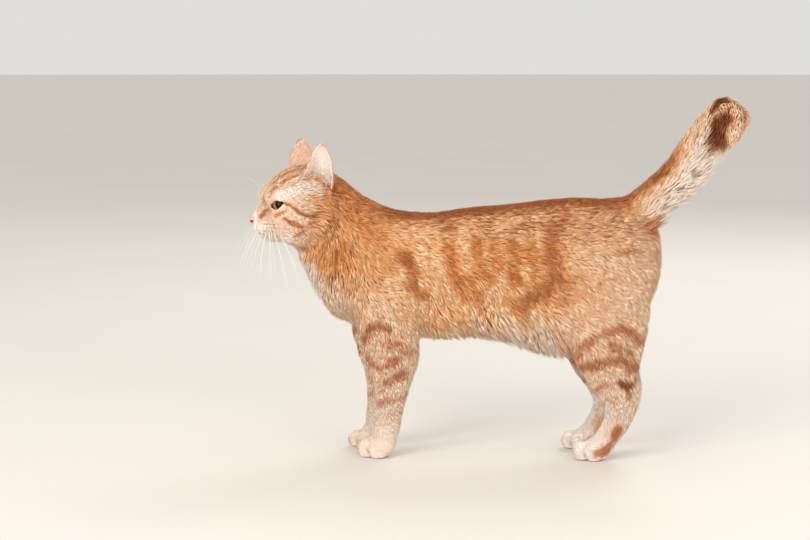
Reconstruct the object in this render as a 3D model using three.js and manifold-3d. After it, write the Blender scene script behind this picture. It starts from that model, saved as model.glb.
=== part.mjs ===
// A life-size domestic cat that stands with its tail raised and the tip curled over to its left.
// Millimetres, +Z up. It looks towards -X, its left side faces -Y, and its paws stand on Z = 0.
// The solids reach to the tips of the coat. Each is meshed from one distance field of the whole
// animal, which melts its forms together, and thin flat cuts then part it from its neighbours.
import * as THREE from "three";
import { mergeVertices } from "three/addons/utils/BufferGeometryUtils.js";
import Module from "manifold-3d";

const wasm = await Module();
wasm.setup();

// ---------------------------------------------------------------- driving dimensions

const GAP = 0.3; // clear space that each thin cut leaves
const LEFT = -1; // the side that faces -Y
const RIGHT = 1;
const STRIDE = { fore: 13, hind: 10 }; // how far the right feet stand ahead of the left ones

// Rows of a body of elliptic sections: [along, across, middle, half width, reach up, reach down].
// The legs' rows run downwards, so their reaches are to the back and to the front.
const TRUNK = [
  [-140, 0, 170, 27, 38, 42],
  [-122, 0, 170, 38, 62, 56],
  [-98, 0, 171, 43, 66, 60],
  [-62, 0, 171, 47, 65, 58],
  [-25, 0, 172, 48, 69, 53],
  [8, 0, 172, 47.5, 72, 57],
  [42, 0, 172, 45, 76, 68],
  [74, 0, 174, 45, 77, 73],
  [100, 0, 179, 45, 71, 62],
  [122, 0, 187, 41, 59, 52],
  [142, 0, 192, 32, 36, 40],
];
const NECK = { from: [-177, 0, 239.5], dip: 46 };
const NECK_ROWS = [
  [-20, 0, 0, 26, 34, 27],
  [0, 0, 0, 33, 41, 34],
  [20, 0, 0, 36, 43, 42],
  [40, 0, 0, 39, 48, 47],
  [60, 0, 0, 41, 50, 52],
  [80, 0, 0, 41, 50, 54],
];
const FORELEG = [
  [-150, 25, -106, 18, 28, 28],
  [-130, 26, -102, 18, 28, 28],
  [-114, 27, -101, 17, 28, 28],
  [-102, 27, -99, 15.5, 26, 26],
  [-89, 27, -98, 14, 23.5, 24],
  [-75, 27, -98, 12.5, 18, 18.5],
  [-57, 27, -99, 11.5, 15, 15],
  [-40, 26.5, -101.5, 11, 13.5, 13.5],
  [-22, 26, -104.5, 12, 13, 13],
  [-12, 26, -107, 12.5, 10.5, 12],
];
const HINDLEG = [
  [-175, 23, 114, 22, 38, 40],
  [-150, 26, 110, 22, 38, 42],
  [-125, 29, 108, 19.5, 38, 41],
  [-108, 30, 108, 17.5, 33, 36],
  [-95, 30, 108, 15.5, 30.5, 31],
  [-85, 30, 111, 14, 26.5, 27],
  [-75, 30, 115, 12.5, 25, 26],
  [-64, 30, 120, 11.5, 21, 22],
  [-54, 29.5, 122.5, 11, 17.5, 18.5],
  [-45, 29, 122, 11, 14.5, 15],
  [-34, 29, 117, 11.5, 14, 14],
  [-24, 29, 111, 12, 14, 14],
  [-14, 29, 104, 12.5, 10.5, 13],
];
const PAWS = {
  fore: { heel: [-109.5, 26, 11], toes: [-121.5, 26, 6.5], turn: 8 },
  hind: { heel: [99, 29, 11], toes: [88, 29, 6.5], turn: 6 },
};
const HEEL_RADII = [15, 14.5, 12.5];
const TOES = [-1.5, -0.5, 0.5, 1.5]; // their places across the paw, in toe widths
const TOE = { radii: [10.5, 5.2, 8], width: 7.4, outerBack: 4.5 }; // the outer toes lie further back
const LIMB_CAPS = [20, 6]; // lengths of the round ends of a leg's body, at its top and its foot
const TRUNK_CAPS = [26, 18];
const NECK_CAPS = [14, 30];
// How widely neighbouring forms melt into each other.
const MELT = { toes: 2.5, paw: 6, head: 9, neck: 16, ends: 14, legs: 12 };
const TAIL_STEPS = 36;
// The tail's middle line and radius, from the root to the tip: [x, y, z, radius].
const TAIL = [
  [110, 0, 214, 27],
  [134, 0, 235, 20],
  [157, 0, 255, 18],
  [179, 0, 276, 19],
  [194, -1, 299, 19],
  [207, -4, 318, 18.5],
  [218, -13, 331, 17.5],
  [222, -25, 327, 15.5],
  [220, -35, 314, 13],
  [216, -39, 305, 8],
];

const HEAD = { at: [-178, -2, 228], turn: 18 }; // the pivot, and degrees towards the cat's left
// The head's forms in its own frame, on the right side where they come in pairs: [middle, radii].
const HEAD_FORMS = [
  [[-13, 0, 16], [36, 36, 37]], // cranium
  [[-42.5, 0, 12], [8.5, 8, 12]], // stop, between the eyes
  [[-46, 0, 3.5], [12.5, 8, 8.5]], // bridge of the nose
  [[-25, 0, -7], [24, 23, 15]], // jaw
  [[-41, 0, -12.5], [8.5, 10, 7.5]], // chin
];
const HEAD_PAIRS = [
  [[-18, 22, -1], [26, 18, 23]], // cheek
  [[-39.5, 15, 24], [10.5, 12, 7.5]], // brow
  [[-46.5, 8, -4], [10.5, 10, 8.5]], // whisker pad
];
const NOSE = { middle: [-56.5, 0, 0.5], radii: [5, 6.5, 4.6] };
const EYE = { at: [-33, 18.5, 15.5], radius: 10.5 };
const LIDS = { outwards: 38, ahead: 11, radii: [8, 9, 6.8] }; // the opening between the eyelids
const EAR = {
  base: [-2, 29, 36],
  tip: [-0.5, 42, 75.5],
  facing: [-0.33, 0.94, 0],
  halfWidth: 17,
  roundness: 0.54, // the power of its outline: a lower one gives a broader tip
  bend: [78, 50], // half the angle of its arc in degrees, at the base and at the tip
  sunk: 0.4, // how far it goes down into the head, as a share of its height
  top: 0.99, // where the last row ends, as a share of its height
  wall: 2.4,
  lean: { [LEFT]: 4, [RIGHT]: -2 }, // degrees outwards
};

// The cuts between parts: a point on each, and the way from the first part to the second.
const CUTS = {
  head_neck: { at: [-173, 0, 236], facing: [0.78, 0, -0.62] },
  neck_trunk: { at: [-121, 0, 180], facing: [0.93, 0, -0.37] },
  trunk_foreleg: { at: [-105, 0, 118], facing: [-0.27, 0, -0.96] },
  foreleg_paw: { at: [-106, 0, 25], facing: [-0.1, 0, -1] },
  trunk_thigh: { at: [108, 0, 141], facing: [0.64, 0, -0.77] },
  thigh_shank: { at: [108, 0, 99], facing: [0.1, 0, -1] },
  shank_foot: { at: [122, 0, 60], facing: [0.1, 0, -1] },
  foot_paw: { at: [108, 0, 23], facing: [-0.41, 0, -0.91] },
  trunk_tail: { at: [135, 0, 235], facing: [0.66, 0, 0.75] },
  tail_root_middle: { at: [170, 0, 265], facing: [0.7, 0, 0.71] },
  tail_middle_tip: { at: [203, -3, 310], facing: [0.55, -0.25, 0.8] },
  median: { at: [0, 0, 100], facing: [0, 1, 0], size: 500 },
  floor: { at: [0, 0, -GAP / 2], facing: [0, 0, -1], size: 500 },
};

const COLOURS = {
  coat: "#d99a63",
  cream: "#ecd2b4",
  white: "#efe6da",
  ear: "#e3b49a",
  eye: "#4a3a1c",
  nose: "#cf7a72",
};

// ---------------------------------------------------------------- distance fields
// A field is an object whose distance(point) is in millimetres, and negative inside.

// The values at one place of a table of rows, on a smooth curve through the rows.
function along(rows, place) {
  const last = rows.length - 1;
  const x = THREE.MathUtils.clamp(place, rows[0][0], rows[last][0]);
  const next = Math.max(1, rows.findIndex((row) => row[0] >= x));
  const near = (step) => rows[THREE.MathUtils.clamp(next + step, 0, last)];
  const [before, a, b, after] = [-2, -1, 0, 1].map(near);
  const span = b[0] - a[0];
  const t = (x - a[0]) / span;
  return a.slice(1).map((start, i) => {
    const end = b[i + 1];
    const slopeA = ((end - before[i + 1]) / (b[0] - before[0])) * span;
    const slopeB = ((after[i + 1] - start) / (after[0] - a[0])) * span;
    const rise = end - start;
    return start + t * (slopeA + t * (3 * rise - 2 * slopeA - slopeB + t * (slopeA + slopeB - 2 * rise)));
  });
}

// About how far a point is outside an ellipsoid, from its offsets and the ellipsoid's radii.
function ellipsoidDistance(offsets, radii) {
  const k = Math.hypot(...offsets.map((d, i) => d / radii[i]));
  const slope = Math.hypot(...offsets.map((d, i) => d / radii[i] ** 2));
  return slope < 1e-9 ? -Math.min(...radii) : ((k - 1) * k) / slope;
}

const ball = ([middle, radii]) => ({
  distance: (p) => ellipsoidDistance([p.x - middle[0], p.y - middle[1], p.z - middle[2]], radii),
});

// A body of elliptic sections along +X, closed at each end by half an ellipsoid of the given length.
const loft = (rows, caps) => ({
  distance(p) {
    const u = THREE.MathUtils.clamp(p.x, rows[0][0], rows.at(-1)[0]);
    const [across, middle, half, up, down] = along(rows, u);
    const rise = p.z - middle;
    const cap = caps[p.x < u ? 0 : 1];
    return ellipsoidDistance([p.x - u, p.y - across, rise], [cap, half, rise > 0 ? up : down]);
  },
});

// A round body along a smooth curve, whose rows give points and radii.
function tube(rows, steps) {
  const curve = new THREE.CatmullRomCurve3(rows.map(([x, y, z]) => new THREE.Vector3(x, y, z)));
  const radii = rows.map((row, i) => [i, row[3]]);
  const points = Array.from({ length: steps + 1 }, (_, i) => curve.getPoint(i / steps));
  const radius = points.map((_, i) => along(radii, (i / steps) * (rows.length - 1))[0]);
  const distance = (p) =>
    Math.min(
      ...points.slice(1).map((end, i) => {
        const line = new THREE.Line3(points[i], end);
        const t = line.closestPointToPointParameter(p, true);
        const away = line.at(t, new THREE.Vector3()).distanceTo(p);
        return away - THREE.MathUtils.lerp(radius[i], radius[i + 1], t);
      }),
    );
  return { distance };
}

// The union of fields, with the valleys between them filled over the width of melt.
const melted = (melt, ...fields) => ({
  distance: (p) =>
    fields
      .map((field) => field.distance(p))
      .reduce((a, b) => Math.min(a, b) - (Math.max(melt - Math.abs(a - b), 0) ** 2 / melt) * 0.25),
});

const grown = (field, by) => ({ distance: (p) => field.distance(p) - by });

// A field set down in another frame by a matrix.
function placed(field, matrix) {
  const inverse = matrix.clone().invert();
  return { distance: (p) => field.distance(p.clone().applyMatrix4(inverse)) };
}

const turn = (axis, degrees, at = [0, 0, 0]) =>
  new THREE.Matrix4().makeRotationAxis(axis, THREE.MathUtils.degToRad(degrees)).setPosition(...at);
const ACROSS = new THREE.Vector3(0, 1, 0);
const UPRIGHT = new THREE.Vector3(0, 0, 1);

// ---------------------------------------------------------------- the animal's form

const headFrame = turn(UPRIGHT, HEAD.turn, HEAD.at);
const onSide = ([x, y, z], side) => [x, y * side, z];

const pair = ([middle, radii]) => [LEFT, RIGHT].map((side) => ball([onSide(middle, side), radii]));
const headForm = melted(MELT.head, ...HEAD_FORMS.map(ball), ...HEAD_PAIRS.flatMap(pair));

// A leg: rows that run down it, a heel, and four toes, of which the middle two reach furthest.
function legForm(rows, paw, side, ahead) {
  const shift = side === RIGHT ? -ahead : 0;
  const set = ([x, y, z]) => onSide([x + shift, y, z], side);
  const shifted = rows.map(([down, across, middle, ...reach]) => {
    return [down, across * side, middle + shift, ...reach];
  });
  const limb = placed(loft(shifted, LIMB_CAPS), turn(ACROSS, 90));
  const heel = ball([set(paw.heel), HEEL_RADII]);
  const spread = turn(UPRIGHT, -paw.turn * side, set(paw.toes));
  const toes = TOES.map((place) => {
    const back = Math.abs(place) > 1 ? TOE.outerBack : 0;
    return placed(ball([[back, place * TOE.width, 0], TOE.radii]), spread);
  });
  return melted(MELT.paw, limb, melted(MELT.toes, heel, ...toes));
}

const legs = [LEFT, RIGHT].flatMap((side) => [
  legForm(FORELEG, PAWS.fore, side, STRIDE.fore),
  legForm(HINDLEG, PAWS.hind, side, STRIDE.hind),
]);
const torso = melted(
  MELT.neck,
  loft(TRUNK, TRUNK_CAPS),
  placed(loft(NECK_ROWS, NECK_CAPS), turn(ACROSS, NECK.dip, NECK.from)),
);
const upper = melted(MELT.ends, torso, placed(headForm, headFrame), tube(TAIL, TAIL_STEPS));
const animal = melted(MELT.legs, upper, ...legs);

// ---------------------------------------------------------------- solids

function solid(positions, faces) {
  const vertProperties = new Float32Array(positions);
  const triVerts = new Uint32Array(faces);
  return new wasm.Manifold(new wasm.Mesh({ numProp: 3, vertProperties, triVerts }));
}

function solidOf(geometry) {
  const bare = geometry.clone();
  bare.deleteAttribute("normal");
  bare.deleteAttribute("uv");
  const merged = mergeVertices(bare, 1e-4);
  return solid(merged.getAttribute("position").array, merged.index.array);
}

const BESIDE = 0.05; // how far beside a point a field is read for its slope
const LEAST_SLOPE = 0.2; // a flatter slope counts as this one, so that no step runs away

// The nearest point of a field's surface, by a few steps down its slope.
function settled(field, start, steps = 3) {
  const p = start.clone();
  for (let step = 0; step < steps; step++) {
    const out = field.distance(p);
    const slope = new THREE.Vector3(
      ...["x", "y", "z"].map((axis) => {
        const beside = p.clone();
        beside[axis] += BESIDE;
        return (field.distance(beside) - out) / BESIDE;
      }),
    );
    p.addScaledVector(slope, -out / Math.max(slope.lengthSq(), LEAST_SLOPE));
  }
  return p;
}

// A field's surface as a closed solid, by surface nets: one corner in each cell of a grid that the
// surface passes through, and four-sided faces round the grid's edges that it crosses.
function netted(field, [low, high], cell) {
  const counts = low.map((start, axis) => Math.ceil((high[axis] - start) / cell[axis]) + 3);
  const stride = [1, counts[0], counts[0] * counts[1]];
  const number = (n) => n[0] * stride[0] + n[1] * stride[1] + n[2] * stride[2];
  const place = (n) => new THREE.Vector3(...n.map((step, axis) => low[axis] + (step - 1) * cell[axis]));
  const every = function* (spare) {
    for (let k = 0; k < counts[2] - spare; k++) {
      for (let j = 0; j < counts[1] - spare; j++) {
        for (let i = 0; i < counts[0] - spare; i++) yield [i, j, k];
      }
    }
  };
  const values = [];
  for (const n of every(0)) {
    const atRim = n.some((step, axis) => step === 0 || step === counts[axis] - 1);
    values.push(atRim ? cell[0] : field.distance(place(n)));
  }
  const bits = [0, 1, 2, 3, 4, 5, 6, 7].map((c) => [c & 1, (c >> 1) & 1, c >> 2]);
  const edges = bits.flatMap((_, c) => [1, 2, 4].filter((bit) => !(c & bit)).map((bit) => [c, c | bit]));
  const corners = new Map();
  const positions = [];
  for (const n of every(1)) {
    const around = bits.map((bit) => n.map((step, axis) => step + bit[axis]));
    const value = around.map((m) => values[number(m)]);
    const crossings = edges
      .filter(([a, b]) => value[a] < 0 !== value[b] < 0)
      .map(([a, b]) => place(around[a]).lerp(place(around[b]), value[a] / (value[a] - value[b])));
    if (crossings.length === 0) continue;
    const middle = crossings
      .reduce((sum, p) => sum.add(p), new THREE.Vector3())
      .divideScalar(crossings.length);
    const rimmed = n.some((step, axis) => step === 0 || step === counts[axis] - 2);
    corners.set(number(n), positions.length / 3);
    positions.push(...(rimmed ? middle : settled(field, middle)).toArray());
  }
  const faces = [];
  for (const n of every(1)) {
    for (const axis of [0, 1, 2]) {
      const here = values[number(n)];
      const next = values[number(n) + stride[axis]];
      if (here < 0 === next < 0) continue;
      const [b, c] = [stride[(axis + 1) % 3], stride[(axis + 2) % 3]];
      const ring = [-b - c, -c, 0, -b].map((step) => corners.get(number(n) + step));
      const [p, q, r, s] = here < 0 ? ring : ring.reverse();
      const length = (m, o) =>
        Math.hypot(...[0, 1, 2].map((i) => positions[3 * m + i] - positions[3 * o + i]));
      faces.push(...(length(p, r) < length(q, s) ? [p, q, r, p, r, s] : [p, q, s, q, r, s]));
    }
  }
  return solid(positions, faces);
}

// A large block with one face on a cut, on its second part's side, or on its first's when way is -1.
function block({ at, facing, size = 240 }, way, frame = new THREE.Matrix4()) {
  const normal = new THREE.Vector3(...facing).normalize().multiplyScalar(way);
  const box = new THREE.BoxGeometry(size, size, size)
    .translate(0, 0, (size - GAP) / 2)
    .applyQuaternion(new THREE.Quaternion().setFromUnitVectors(UPRIGHT, normal))
    .translate(...at)
    .applyMatrix4(frame.clone().invert());
  return solidOf(box);
}

// What is left of a solid past its cuts, each given as [name, way].
const parted = (whole, cuts, frame) =>
  cuts.reduce((rest, [name, way]) => rest.subtract(block(CUTS[name], way, frame)), whole);

function mesh(name, made, colour, roughness = 0.9) {
  const { vertProperties, triVerts } = made.getMesh();
  const geometry = new THREE.BufferGeometry()
    .setAttribute("position", new THREE.BufferAttribute(vertProperties, 3))
    .setIndex(new THREE.BufferAttribute(triVerts, 1));
  geometry.computeVertexNormals();
  const material = new THREE.MeshStandardMaterial({ color: COLOURS[colour], roughness, metalness: 0 });
  const piece = new THREE.Mesh(geometry, material);
  piece.name = name;
  return piece;
}

// ---------------------------------------------------------------- trunk, neck and tail

// name, the box it is meshed in, the grid's cell, its cuts and its colour
const LENGTHS = [
  [
    "neck",
    [[-222, -56, 100], [-85, 56, 292]],
    [13, 13, 12],
    [["head_neck", -1], ["neck_trunk", 1], ["trunk_foreleg", 1]],
    "coat",
  ],
  [
    "trunk",
    [[-180, -58, 84], [172, 58, 262]],
    [21, 12, 12],
    [["neck_trunk", -1], ["trunk_foreleg", 1], ["trunk_thigh", 1], ["trunk_tail", 1]],
    "coat",
  ],
  [
    "tail_root",
    [[104, -34, 196], [200, 34, 300]],
    [10, 10, 10],
    [["trunk_tail", -1], ["tail_root_middle", 1]],
    "coat",
  ],
  [
    "tail_middle",
    [[140, -30, 230], [240, 30, 345]],
    [10, 10, 10],
    [["tail_root_middle", -1], ["tail_middle_tip", 1]],
    "coat",
  ],
  [
    "tail_tip",
    [[180, -56, 280], [246, 24, 354]],
    [9, 9, 9],
    [["tail_middle_tip", -1]],
    "coat",
  ],
];

const body = new THREE.Group();
for (const [name, box, cell, cuts, colour] of LENGTHS) {
  body.add(mesh(name, parted(netted(animal, box, cell), cuts), colour));
}

// ---------------------------------------------------------------- legs

// name, the X and Z ranges it is meshed in, the grid's cell, its cuts and its colour
const LEG_LENGTHS = [
  ["front_leg", [-172, -52], [18, 134], [8.5, 8, 16], [["trunk_foreleg", -1], ["foreleg_paw", 1]], "coat"],
  ["front_paw", [-158, -82], [-4, 32], [6, 5.4, 6.5], [["foreleg_paw", -1], ["floor", 1]], "white"],
  ["hind_thigh", [36, 174], [88, 202], [14, 13, 13], [["trunk_thigh", -1], ["thigh_shank", 1]], "coat"],
  ["hind_shank", [58, 164], [52, 106], [8.5, 8, 13], [["thigh_shank", -1], ["shank_foot", 1]], "coat"],
  ["hind_foot", [80, 156], [8, 66], [8, 7.5, 11], [["shank_foot", -1], ["foot_paw", 1]], "cream"],
  ["hind_paw", [54, 130], [-4, 34], [6, 5.4, 6.5], [["foot_paw", -1], ["floor", 1]], "white"],
];
for (const side of [LEFT, RIGHT]) {
  const across = side === LEFT ? [-62, 2] : [-2, 62];
  for (const [name, [x0, x1], [z0, z1], cell, cuts, colour] of LEG_LENGTHS) {
    const whole = netted(animal, [[x0, across[0], z0], [x1, across[1], z1]], cell);
    const rest = parted(whole, [...cuts, ["median", -side]]);
    body.add(mesh(`${name}_${side === LEFT ? "left" : "right"}`, rest, colour));
  }
}

// ---------------------------------------------------------------- head

const HEAD_BOX = [[-70, -50, -34], [40, 50, 62]];
const HEAD_CELL = [7, 7, 7];
const EAR_ROWS = 7;
const EAR_COLUMNS = 7;
const EAR_STEP = 0.002; // how far beside a point of the sheet its slant is read

// One ear: a cupped sheet whose section is an arc, wide open at the base and closing in to a round tip.
function earSolid(side) {
  const base = new THREE.Vector3(...EAR.base);
  const lean = turn(new THREE.Vector3(-1, 0, 0), EAR.lean[side]);
  const axis = new THREE.Vector3(...EAR.tip).sub(base).applyMatrix4(lean);
  const facing = new THREE.Vector3(...EAR.facing).projectOnPlane(axis).normalize();
  const width = axis.clone().cross(facing).normalize();
  const point = (t, v) => {
    const above = Math.max(t, 0);
    const half = EAR.halfWidth * (1 - above ** 2) ** EAR.roundness;
    const bend = THREE.MathUtils.degToRad(THREE.MathUtils.lerp(...EAR.bend, above));
    const radius = half / Math.sin(bend);
    return base
      .clone()
      .addScaledVector(axis, t)
      .addScaledVector(width, radius * Math.sin(bend * v))
      .addScaledVector(facing, -radius * (Math.cos(bend * v) - Math.cos(bend)));
  };
  const [rows, columns] = [EAR_ROWS, EAR_COLUMNS];
  const outside = [];
  const inside = [];
  for (let i = 0; i <= rows; i++) {
    const t = THREE.MathUtils.lerp(-EAR.sunk, EAR.top, Math.sin((Math.PI / 2) * (i / rows)));
    for (let j = 0; j <= columns; j++) {
      const v = (2 * j) / columns - 1;
      const p = point(t, v);
      const rise = point(t + EAR_STEP, v).sub(point(t - EAR_STEP, v));
      const sweep = point(t, v + EAR_STEP).sub(point(t, v - EAR_STEP));
      outside.push(p);
      inside.push(p.clone().addScaledVector(sweep.cross(rise).normalize(), -EAR.wall));
    }
  }
  const at = (i, j, layer) => (i * (columns + 1) + j) * 2 + layer;
  const positions = outside.flatMap((p, i) => [p, inside[i]]).flatMap((p) => [p.x, p.y * side, p.z]);
  const quads = [];
  for (let i = 0; i < rows; i++) {
    for (let j = 0; j < columns; j++) {
      quads.push([at(i, j, 0), at(i, j + 1, 0), at(i + 1, j + 1, 0), at(i + 1, j, 0)]);
      quads.push([at(i, j, 1), at(i + 1, j, 1), at(i + 1, j + 1, 1), at(i, j + 1, 1)]);
    }
    quads.push([at(i, 0, 0), at(i + 1, 0, 0), at(i + 1, 0, 1), at(i, 0, 1)]);
    quads.push([at(i, columns, 0), at(i, columns, 1), at(i + 1, columns, 1), at(i + 1, columns, 0)]);
  }
  for (let j = 0; j < columns; j++) {
    quads.push([at(0, j, 0), at(0, j, 1), at(0, j + 1, 1), at(0, j + 1, 0)]);
    quads.push([at(rows, j, 0), at(rows, j + 1, 0), at(rows, j + 1, 1), at(rows, j, 1)]);
  }
  const faces = quads.flatMap(([a, b, c, d]) => (side === RIGHT ? [a, b, c, a, c, d] : [a, c, b, a, d, c]));
  return solid(positions, faces);
}

const head = new THREE.Group();
head.position.set(...HEAD.at);
head.rotation.z = THREE.MathUtils.degToRad(HEAD.turn);
const animalFromHead = placed(animal, headFrame.clone().invert());
const noseSolid = (spare) => {
  const radii = NOSE.radii.map((radius) => radius + spare);
  return solidOf(new THREE.SphereGeometry(1, 10, 6).scale(...radii).translate(...NOSE.middle));
};
const eyeSolid = (side, spare) =>
  solidOf(new THREE.SphereGeometry(EYE.radius + spare, 12, 8).translate(...onSide(EYE.at, side)));
const lidOpening = (side) =>
  solidOf(
    new THREE.SphereGeometry(1, 12, 8)
      .scale(...LIDS.radii)
      .translate(-LIDS.ahead, 0, 0)
      .rotateZ(THREE.MathUtils.degToRad(-LIDS.outwards * side))
      .translate(...onSide(EYE.at, side)),
  );

const skull = parted(netted(animalFromHead, HEAD_BOX, HEAD_CELL), [["head_neck", 1]], headFrame);
const hollows = [noseSolid(GAP), ...[LEFT, RIGHT].flatMap((side) => [eyeSolid(side, GAP), lidOpening(side)])];
head.add(mesh("head", hollows.reduce((rest, hollow) => rest.subtract(hollow), skull), "coat"));
head.add(mesh("nose", noseSolid(0), "nose", 0.5));
const flesh = netted(grown(animalFromHead, 2 * GAP), HEAD_BOX, HEAD_CELL);
for (const side of [LEFT, RIGHT]) {
  const name = side === LEFT ? "left" : "right";
  head.add(mesh(`ear_${name}`, earSolid(side).subtract(flesh), "ear"));
  head.add(mesh(`eye_${name}`, eyeSolid(side, 0), "eye", 0.1));
}

const cat = new THREE.Group();
cat.add(body, head);
export default cat;
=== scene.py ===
# %% [markdown]
# # A life-size ginger cat
# A domestic cat stands with its tail raised and its head turned a little towards its left. Nearly
# all that anyone sees of a cat is its coat, so the coat decides how this model is made: a skin
# that lies a few millimetres inside the animal's outline, and thin mesh tufts that grow from it
# and reach the outline with their tips. The work starts with the frame, which holds the solids
# that the skin and the coat stand for. They look towards -X, and the left side faces -Y.

# %% Load the frame
import functools
import math

import bpy
import numpy as np
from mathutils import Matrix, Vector


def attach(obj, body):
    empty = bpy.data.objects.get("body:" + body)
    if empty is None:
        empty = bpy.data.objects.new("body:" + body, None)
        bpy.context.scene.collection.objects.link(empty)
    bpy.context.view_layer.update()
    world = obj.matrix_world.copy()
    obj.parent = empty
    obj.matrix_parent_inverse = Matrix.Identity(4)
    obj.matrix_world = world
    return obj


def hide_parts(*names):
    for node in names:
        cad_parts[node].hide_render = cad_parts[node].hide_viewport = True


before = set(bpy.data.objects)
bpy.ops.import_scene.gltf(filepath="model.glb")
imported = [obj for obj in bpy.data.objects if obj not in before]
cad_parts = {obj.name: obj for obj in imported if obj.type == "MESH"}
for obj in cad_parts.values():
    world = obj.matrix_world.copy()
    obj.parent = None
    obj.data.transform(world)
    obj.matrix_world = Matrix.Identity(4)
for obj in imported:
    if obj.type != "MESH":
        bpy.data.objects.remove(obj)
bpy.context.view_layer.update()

MM = 0.001
LEFT = -1
RIGHT = 1
print("solids in the frame:", len(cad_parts))

# %% [markdown]
# ## One field for the whole animal
# A body without seams could be sculpted, or joined from parts and remeshed. Here it is a field: a
# function that says for any point how far it is outside the animal, in millimetres, and is
# negative inside. Ellipsoids and bodies of elliptic sections give the forms, and a smooth minimum
# melts neighbours together as flesh does. Everything later asks this one field where the surface
# is, so skin, coat and markings always agree. NumPy works it out for many points at once.

# %% Small helpers
def ramp(low, high, x):
    """0 before low and 1 past high, with a smooth rise between them."""
    t = np.clip((x - low) / (high - low), 0, 1)
    return t * t * (3 - 2 * t)


def mixed(a, b, share):
    return a + (b - a) * share


def unit(vectors):
    return vectors / np.maximum(np.linalg.norm(vectors, axis=-1, keepdims=True), 1e-9)


def cos_sin(degrees):
    return math.cos(math.radians(degrees)), math.sin(math.radians(degrees))


def about_y(degrees):
    c, s = cos_sin(degrees)
    return np.array([[c, 0, s], [0, 1, 0], [-s, 0, c]])


def about_z(degrees):
    c, s = cos_sin(degrees)
    return np.array([[c, -s, 0], [s, c, 0], [0, 0, 1]])


# %% Forms
CURVE_STEPS = 300


def smooth_columns(rows):
    """The rows of a table on a smooth curve: the places along it, and the columns there."""
    rows = np.array(rows, float)
    last = len(rows) - 1
    places = np.linspace(rows[0, 0], rows[last, 0], CURVE_STEPS)
    after = np.clip(np.searchsorted(rows[:, 0], places), 1, last)
    p, a, b, n = (rows[np.clip(after + step, 0, last)] for step in (-2, -1, 0, 1))
    span = b[:, :1] - a[:, :1]
    t = (places[:, None] - a[:, :1]) / span
    rise = b - a
    slope_a = (b - p) / (b[:, :1] - p[:, :1]) * span
    slope_b = (n - a) / (n[:, :1] - a[:, :1]) * span
    curve = a + t * (slope_a + t * (3 * rise - 2 * slope_a - slope_b + t * (slope_a + slope_b - 2 * rise)))
    return places, curve[:, 1:].T


def ellipsoid_distance(offsets, radii):
    k = np.sqrt(sum((d / r) ** 2 for d, r in zip(offsets, radii)))
    slope = np.sqrt(sum((d / r**2) ** 2 for d, r in zip(offsets, radii)))
    return (k - 1) * k / np.maximum(slope, 1e-6)


def ball(middle, radii):
    return lambda p: ellipsoid_distance((p - middle).T, radii)


def loft(rows, caps):
    """A body of elliptic sections along +X: across, middle, half width, reach up and reach down."""
    places, columns = smooth_columns(rows)

    def distance(p):
        u = np.clip(p[:, 0], places[0], places[-1])
        across, middle, half, up, down = (np.interp(u, places, column) for column in columns)
        rise = p[:, 2] - middle
        cap = np.where(p[:, 0] < u, caps[0], caps[1])
        radii = (cap, half, np.where(rise > 0, up, down))
        return ellipsoid_distance((p[:, 0] - u, p[:, 1] - across, rise), radii)

    return distance


def placed(field, turned, at=(0, 0, 0)):
    return lambda p: field((p - at) @ turned)


def melt(a, b, width):
    return np.minimum(a, b) - np.maximum(width - np.abs(a - b), 0) ** 2 / width * 0.25


def melted(width, *fields):
    return lambda p: functools.reduce(lambda a, b: melt(a, b, width), [f(p) for f in fields])


def hollowed(a, b, width):
    """The field a without the field b, with the edge rounded over the width."""
    return -melt(-a, b, width)


NEAR = 26.0
FAR = 60.0


def nearby(field, low, high):
    """The same field, worked out only near its own box: further off a constant will do."""

    def distance(p):
        out = np.full(len(p), FAR)
        close = np.all((p > np.array(low) - NEAR) & (p < np.array(high) + NEAR), axis=1)
        out[close] = field(p[close])
        return out

    return distance


# %% [markdown]
# ### The animal's own measures
# The rows repeat the solids' measures, so that skin and solids are one shape. Each row of a body
# is its place along the axis, its shift across, the height of its middle, its half width, and how
# far it reaches up and down. A leg's rows run down it, so its reaches are to the back and front.

# %% Measures in millimetres
TRUNK = [
    [-140, 0, 170, 27, 38, 42],
    [-122, 0, 170, 38, 62, 56],
    [-98, 0, 171, 43, 66, 60],
    [-62, 0, 171, 47, 65, 58],
    [-25, 0, 172, 48, 69, 53],
    [8, 0, 172, 47.5, 72, 57],
    [42, 0, 172, 45, 76, 68],
    [74, 0, 174, 45, 77, 73],
    [100, 0, 179, 45, 71, 62],
    [122, 0, 187, 41, 59, 52],
    [142, 0, 192, 32, 36, 40],
]
NECK_FROM = np.array([-177, 0, 239.5])
NECK_DIP = 46
NECK = [
    [-20, 0, 0, 26, 34, 27],
    [0, 0, 0, 33, 41, 34],
    [20, 0, 0, 36, 43, 42],
    [40, 0, 0, 39, 48, 47],
    [60, 0, 0, 41, 50, 52],
    [80, 0, 0, 41, 50, 54],
]
FORELEG = [
    [-150, 25, -106, 18, 28, 28],
    [-130, 26, -102, 18, 28, 28],
    [-114, 27, -101, 17, 28, 28],
    [-102, 27, -99, 15.5, 26, 26],
    [-89, 27, -98, 14, 23.5, 24],
    [-75, 27, -98, 12.5, 18, 18.5],
    [-57, 27, -99, 11.5, 15, 15],
    [-40, 26.5, -101.5, 11, 13.5, 12.5],
    [-22, 26, -104.5, 12, 13, 11.5],
    [-12, 26, -107, 12.5, 10.5, 12],
]
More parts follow.
